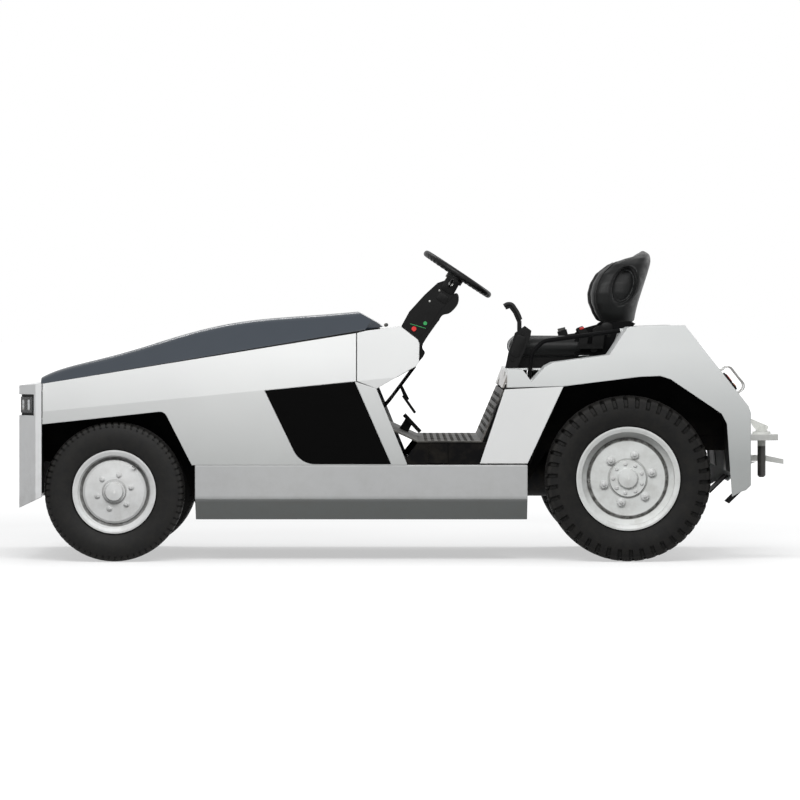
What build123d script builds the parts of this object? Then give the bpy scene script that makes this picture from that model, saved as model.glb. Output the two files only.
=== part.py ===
"""Airport baggage tug: a low electric towing tractor with one central seat and a rear pin hitch.

Millimetres. +X runs from the nose to the hitch, +Y to the driver's right, seen facing the nose,
+Z up. The origin is on the ground, under the middle of the overall length and width.
Stations along the vehicle are offsets from the front or the rear axle, so both ends follow the wheelbase.
"""

import os
from math import atan2, cos, hypot, pi, radians, sin, tan

from build123d import *

os.makedirs("parts", exist_ok=True)

# Overall layout
front_overhang = 433
floor_front = 1367.5  # from the front axle
footwell_length = 284
floor_rear = -663.5  # from the rear axle
wheelbase = floor_front + footwell_length - floor_rear
rear_overhang = 759
overall_width = 1400
overall_length = front_overhang + wheelbase + rear_overhang
half_width = overall_width / 2
front_axle_x = front_overhang - overall_length / 2
rear_axle_x = front_axle_x + wheelbase

# Clearances
rest_gap = 0.3  # between a piece and what it rests on
bearing_gap = 0.1  # radial, pin or shaft in its bush
seam = 4  # shut lines between body panels
swing_gap = 8  # between the hood and what it shuts on

# Sheet and plate
body_plate = 8
bumper_plate = 12
liner_plate = 4
floor_plate = 6
sill_plate = 6
hood_wall = 6

# Wheels: one table for both axles
wheel_sizes = {
    "front": dict(
        rim_radius=188, section_height=127, tyre_width=178, rim_width=140, lip_depth=30, disc_set_in=24,
        disc_gap=1, disc_crown=9, nut_circle=77, nut_radius=13, nut_height=11, hub_radius=53, cap_radius=45,
        cap_height=26, drum_gap=21, drum_depth=52, stub_radius=24, lug_count=0),
    "rear": dict(
        rim_radius=234, section_height=140, tyre_width=208, rim_width=165, lip_depth=42, disc_set_in=52,
        disc_gap=8, disc_crown=4, nut_circle=111, nut_radius=17, nut_height=18, hub_radius=84, cap_radius=48,
        cap_height=20, drum_gap=17, drum_depth=70, stub_radius=46, lug_count=42),
}
tyre_set_in = 15  # tyre's outer face inside the body side
rim_gauge = 6
rim_seat_drop = 18  # from the rim's lip down to the bead seat
rim_well_drop = 26  # from the bead seat down to the well
disc_gauge = 10
bead_play = 0.6  # radial, tyre bead over its seat
nut_count = 6
nut_phase = 14
lug_cut = 12  # depth of the cuts between the shoulder lugs
lug_cut_share = 0.4  # of the lugs' pitch
lug_reach_share = 0.62  # of the tyre's half width
for s in wheel_sizes.values():
    s["tyre_radius"] = s["rim_radius"] + s["section_height"]
    s["disc_radius"] = s["rim_radius"] - rim_seat_drop - rim_well_drop - s["disc_gap"]
    s["drum_radius"] = s["disc_radius"] - s["drum_gap"]

# Frame of two side plates joined by cross tubes
rail_gauge = 20
rail_out = 320
rail_low = 215
rail_low_top = 330
rail_nose_bend = (280.5, 330.5)  # from the front axle, underside and top
rail_low_bend = (360.5, 390.5)
rail_rise_bend = (-524.5, -574.5)  # from the rear axle, underside and top
rail_rear_bend = (-354.5, -394.5)
rail_end = 505.5
rail_front = (440, 560)  # underside and top over the front axle
rail_rear = (492, 600)  # underside and top over the rear axle
cross_tube_radius = 35
cross_tubes_front = [(-240, 500), (390, 270), (1020, 270)]  # from the front axle, height
cross_tubes_rear = [(-555, 270), (-330, 546), (470, 546)]  # from the rear axle, height
outrigger = 50
outriggers_front = [420, 1090]
outriggers_rear = [-600]

# Battery on its tray
battery_start = 420.5  # from the front axle
battery_ahead = 140  # of the firewall's foot
battery_in = 180
battery_z = (345, 850)
tray_lip = 20

# Sill under each side
sill_low = 189
sill_crease = 283.5
sill_top = 436
sill_crease_in = 10
sill_low_in = 90
sill_depth = 140
sill_front = 365.5  # from the front axle
sill_rear = -454.5  # from the rear axle

# Bumper and nose
bumper_corner_in = 100  # how far the nose narrows at each corner
bumper_flat = half_width - bumper_corner_in
bumper_corner_back = 81.5
bumper_side = 27.5
bumper_front_z = (241, 794)
bumper_rear_z = (292, 803)
lamp_slot_z = (659, 754)
lamp_slot_reach = 220
lamp_slot_in = half_width - lamp_slot_reach
lamp_depth = 70
lens_gauge = 5

# Body side
crease_front = (-319.5, 677)  # from the front axle, height
crease_rear = (1084, 813)
side_lean = 10
panel_top_front = (-321.5, 802)
panel_top_rear = (1093.5, 1030.5)
arch_front = [(-321, 620), (227.5, 679), (351, 436.5)]
arch_corner = 36
inset_outline = [(677.5, 772), (1084, 813), (1247.8, 440), (838, 440)]
inset_corner = 110
inset_play = 1.5  # round the inset in its seat
pillar_top = (1180.8, 780)
pillar_foot = (1318.5, 444)
inset_depth = 4
panel_foot = 436.5

# Hood
hood_front = (-331.5, 800)
hood_rear = (1209.5, 1058)
hood_in = 55
hood_half_width = half_width - hood_in
hood_lean = 35
hood_shoulder = 46
hood_bend_share = tan(radians(90 - hood_lean) / 2)  # tangent length of the shoulder's arc, over its radius
hood_arch = [(-322, 830), (-260.5, 862), (3.5, 932), (290.5, 1018), (589, 1084), (841.5, 1107), (1096, 1127)]
hood_brow = (1186.5, 1076)
hood_corner = 80
gasket_height = 16
gasket_width = 42

# Cowl, footwell and dash
cowl_line = [(1289.5, 1060), (1367.5, 1000), (1374.5, 981), (1372.5, 903), (1359, 881)]
cowl_shoulder = (1136.5, 1041)
firewall_line = [(1359, 876), (1248.5, 728), (1170.5, 635)]
floor_z = 545
riser_top = (-564.5, 775)

apron_in = 14
apron_out = half_width - apron_in
apron_plate = 4
apron_front = 1290  # from the front axle
apron_rear = (-629.5, -664.5)  # top and foot, from the rear axle
apron_foot_z = sill_top + 3
step_bracket = (1460, 85, 7)  # from the front axle, length, thickness

# Seat box, deck and fenders, from the rear axle
box_side = [(-668.5, 444), (-454.5, 444), (-293.5, 790), (-557.5, 777)]
fender_top = [(-569, 784), (-537.5, 868.5), (-476.5, 866), (-436.5, 811), (-373.5, 880), (-339.5, 897),
              (-86.5, 931.5), (-6.5, 1052), (5.2, 1058), (251.5, 1066.5), (538.5, 702), (549.2, 670),
              (549.2, 346), (526.5, 324)]
fender_arch = [(504.5, 317), (464.2, 294), (441.5, 621.5), (418.5, 667), (188.5, 822.6), (142.5, 837.5),
               (51.1, 834), (-293.5, 791)]
fender_in = 345
pod_corner = 26
deck_z = 868
rear_top_z = 1050
deck_front = (-545, -86.5)  # where the deck starts and meets the backrest's slope
rear_top = (-20, 251.5)
rear_cover_foot = (530, 700)
flap_line = [(535, 343.8), (452, 263.4), (447.8, 267.7), (530.8, 348.1)]
flap_width = 220
wall_lap = 40  # wheelhouse wall over the frame's side plate

# Wheelhouses over each wheel: the liner's line and its inner wall's outline above the frame, from their axle
front_crown = [(-347.5, 634), (227.5, 700)]
front_liner_ends = [(-347.5, 300), (361, 445)]
front_wall_feet = (-347.5, 320)
rear_crown = [(-290, 803), (51, 846), (146, 849), (196, 833), (427, 676), (452, 625)]
rear_liner_ends = [(-448, 440), (470, 400)]
rear_wall_feet = (-378, 455)

# Seat and what is beside it, from the rear axle
seat_pan = (-330, 360, 400)  # middle, length, width
seat_pan_height = 52
seat_post = [(-150, 910), (-30, 1066.7), (50, 1066.7)]
cushion_span = (-531, -165)
cushion_crown = [(190, 66), (60, 84), (0, 46)]  # behind the front edge, over the pan
back_post_half = 150
bolster_radius = 48
bolster_out = 200
back_foot_z = 1067
back_half = 240
back_foot_half = 185
back_front = [(-106, 1067), (-155, 1214), (-119, 1305), (-67, 1351), (-2, 1381), (77, 1409)]
back_rear = [(77, 1409), (128, 1407), (141, 1384), (129, 1338), (64, 1129), (56, 1067)]
back_hollow = [(-200, 1060), (-60, 1060), (-40, 1200), (22, 1330), (60, 1375), (60, 1440), (-200, 1440)]
back_hollow_half = 150
back_top_z = 1411
back_wings = [(0, 1200), (40, 1330)]  # inside the widest half width, height
flank_hollow = (-5, 1245, 52, 88)  # middle, height and half sizes of the hollow in each flank
flank_depth = 70
guard_line = [(-21.5, 1040), (-372, 993), (-425, 940), (-437, 829)]
guard_bend = 55
guard_out = 365
guard_radius = 10
lever_out = 262
lever_console = 44
console_side = [(-545, 868.3), (-490, 868.3), (-430, 1010), (-425, 1040), (-455, 1062), (-500, 1030),
                (-530, 940)]
lever_line = [(-548, 1156), (-517, 1166), (-490, 1129), (-470, 1083), (-470, 1020)]
lever_width = 12
lever_depth = 20
buckle_out = bolster_out + bolster_radius + rest_gap
buckle_gauge = 24
buckle_side = [(-210, 957), (-95, 957), (-85, 1050), (-112, 1062), (-140, 1048), (-145, 979), (-168, 979),
               (-160, 1030), (-190, 1062), (-215, 1052), (-200, 1025)]

# Steering column and wheel
wheel_hub = (1555, 1303)  # from the front axle, height
wheel_lean = 56.2
wheel_radius = 185
grip_radius = 14
hub_radius = 42
hub_depth = 40
hub_gap = 2
neck_radius = 32
shaft_radius = 12
spoke_gauge = 9
column_half = 44
column_foot = (1292, 1366)  # on the dash's slope
column_side = [(1330, 1128), (1400, 1205), (1462, 1262), (1510, 1278), (1558, 1246), (1530, 1196),
               (1470, 1130), (1420, 1052)]
column_corner = 8
switches = [(1352, 1048, 11), (1404, 1074, 9)]  # from the front axle, height, radius
switch_height = 9

# Pedals on the toe board, from the front axle
brake_arm = [(1286.5, 778), (1296, 790), (1330, 722), (1312, 712)]
brake_pad = [(1296, 735), (1352, 655), (1362, 662), (1306, 742)]
treadle_foot = [(1285, 583.2), (1325, 564.9), (1345, 606), (1320, 640)]
treadle_pad = [(1300, 640), (1375, 560), (1388, 571), (1313, 652)]
pedal_forms = [(brake_arm, 78, 18), (brake_pad, 50, 75), (treadle_foot, -120, 20), (treadle_pad, -150, 80)]
# outline, its face left of the middle, width

# Tail lamps and their guards
tail_lamp_down = 330
tail_lamp_in = 110
tail_lamp_out = half_width - tail_lamp_in
tail_lamp_size = (80, 96, 12)
guard_span = 128
guard_stand = 50
guard_spread = 96
guard_wire = 3

# Hitch
pin_station = 656.5
pin_radius = 19
pin_foot = 357
hitch_plate = 26
collar_radius = 42
collar_height = 12
handle_top = [(-49, 52), (-49, 71), (30, 38), (31, 26)]  # from the pin's middle, over the upper jaw
handle_rocker = [(22, 20), (-8, 15), (-36, 30)]
handle_gauge = 18
hitch_plate_z = (380, 600)
jaw_top_z = (530, 558)
jaw_low_z = (432, 458)
lip_z = (418, 440)
jaw_root = 150
jaw_waist = 92
jaw_tip = 64
jaw_nose = 72
lip_half = 60

# Axles, springs and front steering
axle_tube_radius = 55
gear_radius = 118
gear_half = 105
motor_radius = 104
motor_reach = 480
backing_gap = 5
backing_gauge = 10
beam_width = 60
beam_height = 68
kingpin_in = 170
kingpin_out = half_width - kingpin_in
kingpin_radius = 14
eye_radius = 29
fork_gap = 40
fork_height = 79
upright_gauge = 9
arm_length = 100
arm_gauge = 18
rod_eye = 17
rod_eye_height = 22
rod_pin = 9
rod_radius = 9
rod_drop = 20
open_pivot_gap = 0.4  # radial, at the tie rod's right end
spring_out = 305
spring_width = 50
spring_leaves = 3
leaf_gauge = 9
spring_eye = 16
spring_spans = (238, 300)  # half lengths, front and rear


def plane_of_y(y):
    """The XZ plane at that Y: its sketches have X to the right and Z up, and extrude to the left side."""
    return Plane.XZ.offset(-y)


def front_points(points):
    """Points given from the front axle, placed along the vehicle."""
    return [(front_axle_x + along, height) for along, height in points]


def rear_points(points):
    """Points given from the rear axle, placed along the vehicle."""
    return [(rear_axle_x + along, height) for along, height in points]


def folded(line, gauge):
    """Outline of a folded sheet: its line, and that line moved to the right by the gauge, mitred."""
    inner = []
    for i, (x, z) in enumerate(line):
        before = line[max(i - 1, 0)]
        after = line[min(i + 1, len(line) - 1)]
        here = line[i]
        a = before if i else here
        b = here if i else after
        c = here if i < len(line) - 1 else before
        d = after if i < len(line) - 1 else here
        turn_in = atan2(b[1] - a[1], b[0] - a[0])
        turn_out = atan2(d[1] - c[1], d[0] - c[0])
        half = (turn_out - turn_in) / 2
        middle = (turn_in + turn_out) / 2
        if abs(turn_out - turn_in) > radians(180):
            half += radians(180)
            middle += radians(180)
        reach = gauge / abs(cos(half))
        inner.append((x + reach * sin(middle), z - reach * cos(middle)))
    return list(line) + inner[::-1]


def on_line(start, end, along):
    """Height of the straight line from start to end at that station."""
    return start[1] + (end[1] - start[1]) * (along - start[0]) / (end[0] - start[0])


def write(name, piece):
    """One file for each piece, its label the name of the piece."""
    piece.label = name
    export_step(piece, f"parts/{name}.step")


# Wheels: a pressed steel disc wheel with its drum, nuts and hub cap, and its tyre
def make_rim(centre_x, side, s):
    """One wheel: its section's x runs outwards and its y up from the axle."""
    lip_y = side * (half_width - tyre_set_in - (s["tyre_width"] - s["rim_width"]) / 2)
    axle_z = s["tyre_radius"]
    section = Plane(origin=(centre_x, lip_y, axle_z), x_dir=(0, side, 0), z_dir=(side, 0, 0))
    axle = Axis((centre_x, 0, axle_z), (0, side, 0))
    lip = s["rim_radius"]
    seat = lip - rim_seat_drop
    well = seat - rim_well_drop
    w = s["rim_width"]
    bore = s["stub_radius"] + bearing_gap
    well_front = -s["lip_depth"] - 16
    disc_face = -s["disc_set_in"]
    crown = disc_face + s["disc_crown"]
    back = disc_face - disc_gauge
    nose = crown + 12
    with BuildPart() as rim:
        with BuildSketch(section):
            Polygon((0, lip), (-8, lip), (-12, seat), (-s["lip_depth"], seat), (well_front, well),
                    (-w + 34, well), (-w + 24, seat), (-w + 12, seat), (-w + 8, lip), (-w, lip),
                    (-w, seat), (-w + 22, seat - rim_gauge), (-w + 32, well - rim_gauge),
                    (well_front - 3, well - rim_gauge), (3 - s["lip_depth"], seat - rim_gauge),
                    (-6, seat - rim_gauge), (0, lip - 8))
        revolve(axis=axle)
        with BuildSketch(section):
            Polygon((well_front - 4, well - rim_gauge / 2), (disc_face - 10, s["disc_radius"]),
                    (disc_face, s["disc_radius"] - 10), (crown, s["hub_radius"] + 14),
                    (crown, s["hub_radius"]),
                    (nose, s["hub_radius"] - 3), (nose, s["cap_radius"]),
                    (nose + s["cap_height"] - 5, s["cap_radius"] - 7), (nose + s["cap_height"], 0),
                    (crown - 2, 0), (crown - 2, bore), (back - s["drum_depth"], bore),
                    (back - s["drum_depth"], s["drum_radius"]), (back, s["drum_radius"]),
                    (back - 4, s["disc_radius"] - 8), (well_front - 14, well - rim_gauge / 2))
        revolve(axis=axle)
        with BuildSketch(Plane(origin=(centre_x, lip_y + side * disc_face, axle_z), x_dir=(1, 0, 0),
                               z_dir=(0, side, 0))):
            with PolarLocations(s["nut_circle"], nut_count, start_angle=nut_phase):
                RegularPolygon(s["nut_radius"], 6)
        extrude(amount=s["nut_height"])
    return rim.part


def make_tyre(centre_x, side, s):
    """A tyre: beads on the rim's seats, bulged sidewalls, a domed crown, lugs cut into the shoulders."""
    w, r = s["tyre_width"] / 2, s["tyre_radius"]
    middle_y = side * (half_width - tyre_set_in - w)
    section = Plane(origin=(centre_x, middle_y, r), x_dir=(0, side, 0), z_dir=(side, 0, 0))
    lip = s["rim_width"] / 2 + 2
    bead_out = s["rim_width"] / 2 - 12 - rest_gap
    bead = s["rim_radius"] - rim_seat_drop + bead_play
    over_lip = s["rim_radius"] + 4
    belly = (over_lip + r) / 2
    half_profile = [(0, bead), (bead_out, bead), (bead_out, over_lip), (lip, over_lip),
                    (w - 3, (2 * over_lip + belly) / 3), (w, belly), (w - 10, r * 0.955), (w * 0.7, r * 0.992),
                    (0, r)]
    with BuildPart() as tyre:
        with BuildSketch(section):
            Polygon(*half_profile)
            mirror(about=Plane.YZ)
        revolve(axis=Axis((centre_x, 0, s["tyre_radius"]), (0, side, 0)))
        if s["lug_count"]:
            pitch = 2 * pi * r / s["lug_count"]
            for face, phase in ((1, 0), (-1, 180 / s["lug_count"])):
                face_y = middle_y + side * face * (w + 1)
                inwards = (0, -side * face, 0)
                with BuildSketch(Plane(origin=(centre_x, face_y, r), x_dir=(1, 0, 0), z_dir=inwards)):
                    with PolarLocations(r, s["lug_count"], start_angle=phase):
                        Rectangle(2 * lug_cut, pitch * lug_cut_share)
                extrude(amount=w * lug_reach_share, mode=Mode.SUBTRACT)
    return tyre.part


for place, side_name, side in (("front", "left", -1), ("front", "right", 1), ("rear", "left", -1),
                               ("rear", "right", 1)):
    axle_x = front_axle_x if place == "front" else rear_axle_x
    write(f"rim_{place}_{side_name}", make_rim(axle_x, side, wheel_sizes[place]))
    write(f"tyre_{place}_{side_name}", make_tyre(axle_x, side, wheel_sizes[place]))


# Frame: two side plates and cross tubes
rail_nose = bumper_plate + rest_gap - front_overhang


def rail_edge(level):
    """One long edge of the side plates from nose to tail: level 0 the underside, 1 the top."""
    nose_z, low, tail_z = rail_front[level], (rail_low, rail_low_top)[level], rail_rear[level]
    nose_part = [(rail_nose, nose_z), (rail_nose_bend[level], nose_z), (rail_low_bend[level], low)]
    tail_part = [(rail_rise_bend[level], low), (rail_rear_bend[level], tail_z), (rail_end, tail_z)]
    return front_points(nose_part) + rear_points(tail_part)


rail_line = rail_edge(0) + rail_edge(1)[::-1]
cross_tubes = front_points(cross_tubes_front) + rear_points(cross_tubes_rear)
with BuildPart() as frame:
    with BuildSketch(plane_of_y(rail_out)):
        Polygon(*rail_line)
    extrude(amount=rail_gauge)
    with BuildSketch(plane_of_y(rail_gauge - rail_out)):
        Polygon(*rail_line)
    extrude(amount=rail_gauge)
    with BuildSketch(plane_of_y(rail_out - 1)):
        for along, height in cross_tubes:
            with Locations((along, height)):
                Circle(cross_tube_radius)
    extrude(amount=2 * rail_out - 2)
write("frame", frame.part)

# Outriggers: square bars from the side plates out to the sills
outriggers = [front_axle_x + x for x in outriggers_front] + [rear_axle_x + x for x in outriggers_rear]
outrigger_z = sill_low + sill_plate
outrigger_reach = half_width - sill_low_in - 2 * sill_plate - rail_out - rest_gap
with BuildPart() as outrigger_bars:
    with BuildSketch(Plane.XY.offset(outrigger_z)):
        for along in outriggers:
            for side in (-1, 1):
                with Locations((along, side * (rail_out + rest_gap + outrigger_reach / 2))):
                    Rectangle(outrigger, outrigger_reach)
    extrude(amount=outrigger)
write("outriggers", outrigger_bars.part)

# Battery and the tray that carries it across the side plates
battery_front = front_axle_x + battery_start
battery_rear = front_axle_x + firewall_line[-1][0] - battery_ahead
battery_half_width = half_width - battery_in
tray_plate = battery_z[0] - rail_low_top - 2 * rest_gap
with BuildPart() as battery_tray:
    with BuildSketch(Plane.XY.offset(rail_low_top + rest_gap)):
        with Locations(((battery_front + battery_rear) / 2, 0)):
            Rectangle(battery_rear - battery_front + 2 * tray_lip, 2 * (battery_half_width + tray_lip))
    extrude(amount=tray_plate)
write("battery_tray", battery_tray.part)

with BuildPart() as battery:
    with BuildSketch(Plane.XY.offset(battery_z[0])):
        with Locations(((battery_front + battery_rear) / 2, 0)):
            Rectangle(battery_rear - battery_front, 2 * battery_half_width)
    extrude(amount=battery_z[1] - battery_z[0])
write("battery", battery.part)

# Sills: a folded sheet open towards the frame, closed by a plate at each end
sill_from = front_axle_x + sill_front
sill_to = rear_axle_x + sill_rear
sill_inner = half_width - sill_depth
sill_line = [(sill_inner, sill_low), (half_width - sill_low_in, sill_low),
             (half_width - sill_crease_in, sill_crease), (half_width, sill_top), (sill_inner, sill_top)]
with BuildPart() as sills:
    with BuildSketch(Plane.YZ.offset(sill_from)):
        Polygon(*folded(sill_line[::-1], sill_plate))
        mirror(about=Plane.YZ)
    extrude(amount=sill_to - sill_from)
    for station in (sill_from, sill_to - sill_plate):
        with BuildSketch(Plane.YZ.offset(station)):
            Polygon(*sill_line)
            mirror(about=Plane.YZ)
        extrude(amount=sill_plate)
write("sills", sills.part)

# Bumper: a folded plate round the nose, capped on top and slotted at each corner for the headlamps
nose_x = front_axle_x - front_overhang
corner_x = nose_x + bumper_corner_back
bumper_end = corner_x + bumper_side
bumper_plan = [(bumper_end, -half_width), (corner_x, -half_width), (nose_x, -bumper_flat),
               (nose_x, bumper_flat), (corner_x, half_width), (bumper_end, half_width)]
bumper_profile = [(nose_x, bumper_front_z[0]), (nose_x, bumper_front_z[1]), (bumper_end, bumper_rear_z[1]),
                  (bumper_end, bumper_rear_z[0])]
slot_end_x = corner_x - 8
with BuildPart() as front_bumper:
    with BuildSketch(Plane.XY.offset(bumper_front_z[0])):
        Polygon(*folded(bumper_plan, bumper_plate))
    extrude(amount=bumper_rear_z[1] - bumper_front_z[0])
    with BuildSketch(plane_of_y(half_width)):
        Polygon(*bumper_profile)
    extrude(amount=overall_width, mode=Mode.INTERSECT)
    with BuildSketch(plane_of_y(half_width - bumper_plate)):
        cap_end = bumper_end - 20
        cap_end_z = on_line(bumper_profile[1], bumper_profile[2], cap_end)
        cap = [(nose_x + 2, bumper_front_z[1]), (cap_end, cap_end_z)]
        Polygon(*folded(cap, bumper_plate))
    extrude(amount=overall_width - 2 * bumper_plate)
    with BuildSketch(Plane.XY.offset(bumper_front_z[0])):
        Polygon(*bumper_plan)
    extrude(amount=bumper_rear_z[1] - bumper_front_z[0] + 5, mode=Mode.INTERSECT)
    for side in (-1, 1):
        with BuildSketch(plane_of_y(side * (lamp_slot_in + half_width) / 2)):
            with Locations(((nose_x + slot_end_x) / 2 - 10, sum(lamp_slot_z) / 2)):
                Rectangle(slot_end_x - nose_x + 20, lamp_slot_z[1] - lamp_slot_z[0])
        extrude(amount=(half_width - lamp_slot_in) / 2, both=True, mode=Mode.SUBTRACT)
write("front_bumper", front_bumper.part)

# Headlamps: a dark housing behind each corner slot, its lens wrapped round the corner
lamp_height = lamp_slot_z[1] - lamp_slot_z[0]
corner_slope = (half_width - bumper_flat) / bumper_corner_back


def slot_line(short):
    """The corner's outer line in plan along the slot, that much shorter at both ends."""
    back = slot_end_x - short
    back_y = bumper_flat + corner_slope * (back - nose_x)
    return [(nose_x, lamp_slot_in + short), (nose_x, bumper_flat), (back, back_y)]


def set_in(line, depth):
    """A line in plan moved inwards by that depth."""
    return folded(line, depth)[len(line):][::-1]


with BuildPart() as headlamps:
    with BuildSketch(Plane.XY.offset(lamp_slot_z[0] - 10)):
        Polygon(*folded(set_in(slot_line(0), bumper_plate + rest_gap), lamp_depth))
        mirror(about=Plane.XZ)
    extrude(amount=lamp_height + 20)
write("headlamps", headlamps.part)

with BuildPart() as headlamp_lenses:
    with BuildSketch(Plane.XY.offset(lamp_slot_z[0] + 12)):
        Polygon(*folded(set_in(slot_line(14), bumper_plate - lens_gauge), lens_gauge))
        mirror(about=Plane.XZ)
    extrude(amount=lamp_height - 24)
write("headlamp_lenses", headlamp_lenses.part)


# Body sides: one folded skin each, its upper facet leaning in above the crease
crease = front_points([crease_front, crease_rear])
crease_angle = atan2(crease[1][1] - crease[0][1], crease[1][0] - crease[0][0])
lean_height = cos(radians(side_lean))


def facet_plane(side):
    """The upper facet's outer plane: local x rearwards along the crease, local y up the facet."""
    lean = radians(side_lean)
    along = Vector(cos(crease_angle), 0, sin(crease_angle))
    up = Vector(-sin(crease_angle) * cos(lean), -side * sin(lean), cos(crease_angle) * cos(lean))
    return Plane(origin=(crease[0][0], side * half_width, crease[0][1]), x_dir=along, z_dir=along.cross(up))


def on_facet(points):
    """Stations and heights seen from the side, carried onto the leaning facet."""
    flat = []
    for x, z in points:
        dx, dz = x - crease[0][0], z - crease[0][1]
        flat.append((dx * cos(crease_angle) + dz * sin(crease_angle),
                     (dz * cos(crease_angle) - dx * sin(crease_angle)) / lean_height))
    return flat


seam_x = front_axle_x + panel_top_rear[0]
seam_crease = (seam_x - seam, on_line(crease[0], crease[1], seam_x - seam))
panel_top = front_points([panel_top_front, panel_top_rear])
seam_top = (seam_x - seam, on_line(panel_top[0], panel_top[1], seam_x - seam))
panel_upper = [crease[0], seam_crease, seam_top, panel_top[0]]
pillar = front_points([pillar_foot, pillar_top])
arch = front_points(arch_front)
panel_lower = [crease[0], crease[1], pillar[1], pillar[0],
               (pillar[0][0], panel_foot), (arch[2][0], panel_foot), arch[1], arch[0]]
inset_points = front_points(inset_outline)


def make_side_panel(side):
    """The long front side panel with its wheel arch, pillar strip and the shallow seat of its inset."""
    y = side * half_width
    inward = 1 if side < 0 else -1
    with BuildPart() as panel:
        with BuildSketch(facet_plane(side)):
            Polygon(*on_facet(panel_upper))
        extrude(amount=body_plate * (-1 if side < 0 else 1))
        with BuildSketch(plane_of_y(y)) as lower:
            Polygon(*panel_lower)
            fillet(lower.vertices().sort_by_distance((*arch[1], 0))[0], radius=arch_corner)
        extrude(amount=body_plate * -inward)
        with BuildSketch(plane_of_y(y)) as seat:
            Polygon(*inset_points)
            fillet(seat.vertices().sort_by_distance((*inset_points[3], 0))[0], radius=inset_corner)
        extrude(amount=inset_depth * -inward, mode=Mode.SUBTRACT)
    return panel.part


write("side_panel_left", make_side_panel(-1))
write("side_panel_right", make_side_panel(1))

with BuildPart() as side_insets:
    with BuildSketch(plane_of_y(rest_gap - half_width)) as bare:
        Polygon(*inset_points)
        fillet(bare.vertices().sort_by_distance((*inset_points[3], 0))[0], radius=inset_corner)
        offset(amount=-inset_play)
    extrude(amount=rest_gap - inset_depth)
    mirror(about=Plane.XZ)
write("side_insets", side_insets.part)

# Hood: a domed shell whose sides lean in above its rim, with a sloping brow at the rear
hood_base = front_points([hood_front, hood_rear])
hood_slope = atan2(hood_base[1][1] - hood_base[0][1], hood_base[1][0] - hood_base[0][0])
hood_length = hypot(hood_base[1][0] - hood_base[0][0], hood_base[1][1] - hood_base[0][1])


def hood_form(wall):
    """The hood's outer form, or with a wall the hollow inside it, lofted through upright sections."""
    front, rear = hood_base[0], hood_base[1]
    crown = front_points(hood_arch)
    brow = front_points([hood_brow])[0]
    width = hood_half_width - wall / cos(radians(hood_lean))
    drop = 2 * wall
    with BuildPart() as form:
        for x, top in [(front[0] + wall, crown[0][1])] + crown[1:] + [(rear[0], crown[-1][1] + 6)]:
            low = on_line(front, rear, x)
            high = top - wall
            run = (high - low) * tan(radians(hood_lean))
            spread = drop * tan(radians(hood_lean))
            with BuildSketch(Plane.YZ.offset(x)) as section:
                Polygon((-width - spread, low - drop), (run - width, high), (width - run, high),
                        (width + spread, low - drop))
                side_length = (high - low) / cos(radians(hood_lean))
                bend = min(hood_shoulder - wall, 0.8 * side_length / hood_bend_share)
                fillet(section.vertices().sort_by(Axis.Y)[-2:], radius=bend)
        loft()
        with BuildSketch(plane_of_y(hood_half_width)):
            ridge = crown[-1]
            Polygon((front[0] - wall, front[1] - 90), (front[0] - wall, ridge[1] + 90),
                    (ridge[0] - 60, ridge[1] + 90), (ridge[0], ridge[1] - wall),
                    (brow[0] - wall, brow[1] - wall), (rear[0] - wall, rear[1] - wall),
                    (rear[0] - wall, rear[1] - 90))
        extrude(amount=2 * hood_half_width, mode=Mode.INTERSECT)
        with BuildSketch(Plane.XY.offset(front[1] - 60)):
            Polygon((front[0], -hood_half_width), (rear[0] - hood_corner, -hood_half_width),
                    (rear[0] - wall, hood_corner - hood_half_width),
                    (rear[0] - wall, hood_half_width - hood_corner),
                    (rear[0] - hood_corner, hood_half_width), (front[0], hood_half_width))
        extrude(amount=500, mode=Mode.INTERSECT)
    return form.part


hood_inside = hood_form(hood_wall)
with BuildPart() as hood:
    add(hood_form(0))
    add(hood_inside, mode=Mode.SUBTRACT)
write("hood", hood.part)

# Gasket rail: a dark frame between the body sides that carries the hood's rim
rim_plane = Plane(origin=(hood_base[0][0], 0, hood_base[0][1]), x_dir=(cos(hood_slope), 0, sin(hood_slope)),
                  z_dir=(-sin(hood_slope), 0, cos(hood_slope)))
lean_run = tan(radians(side_lean))
gasket_front = half_width - body_plate - lean_run * (panel_top_front[1] - crease_front[1]) - 2 * rest_gap
gasket_rear = half_width - body_plate - lean_run * (panel_top_rear[1] - crease_rear[1]) - 6
with BuildPart() as hood_frame:
    with BuildSketch(rim_plane.offset(-rest_gap)):
        gasket_end = hood_length - 20
        for start, end, front_y, rear_y, mode in (
                (8, gasket_end, gasket_front, gasket_rear, Mode.ADD),
                (8 + gasket_width, gasket_end - gasket_width, gasket_front - gasket_width,
                 gasket_rear - gasket_width, Mode.SUBTRACT)):
            Polygon((start, -front_y), (end, -rear_y), (end, rear_y), (start, front_y), mode=mode)
    extrude(amount=-gasket_height)
write("hood_frame", hood_frame.part)

# Cowl: side cheeks that carry on the body sides, and the dash folded between them
cowl_top = front_points([panel_top_rear, cowl_shoulder] + cowl_line)
low_edge = (pillar[1], cowl_top[-1])
meet_run = (crease[1][1] - pillar[1][1] + tan(crease_angle) * (pillar[1][0] - crease[1][0])) / (
    (low_edge[1][1] - low_edge[0][1]) / (low_edge[1][0] - low_edge[0][0]) - tan(crease_angle))
crease_end = (pillar[1][0] + meet_run, on_line(pillar[1], cowl_top[-1], pillar[1][0] + meet_run))
firewall_half_width = half_width - body_plate - lean_run * (firewall_line[0][1] - crease_rear[1]) - 2


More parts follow.
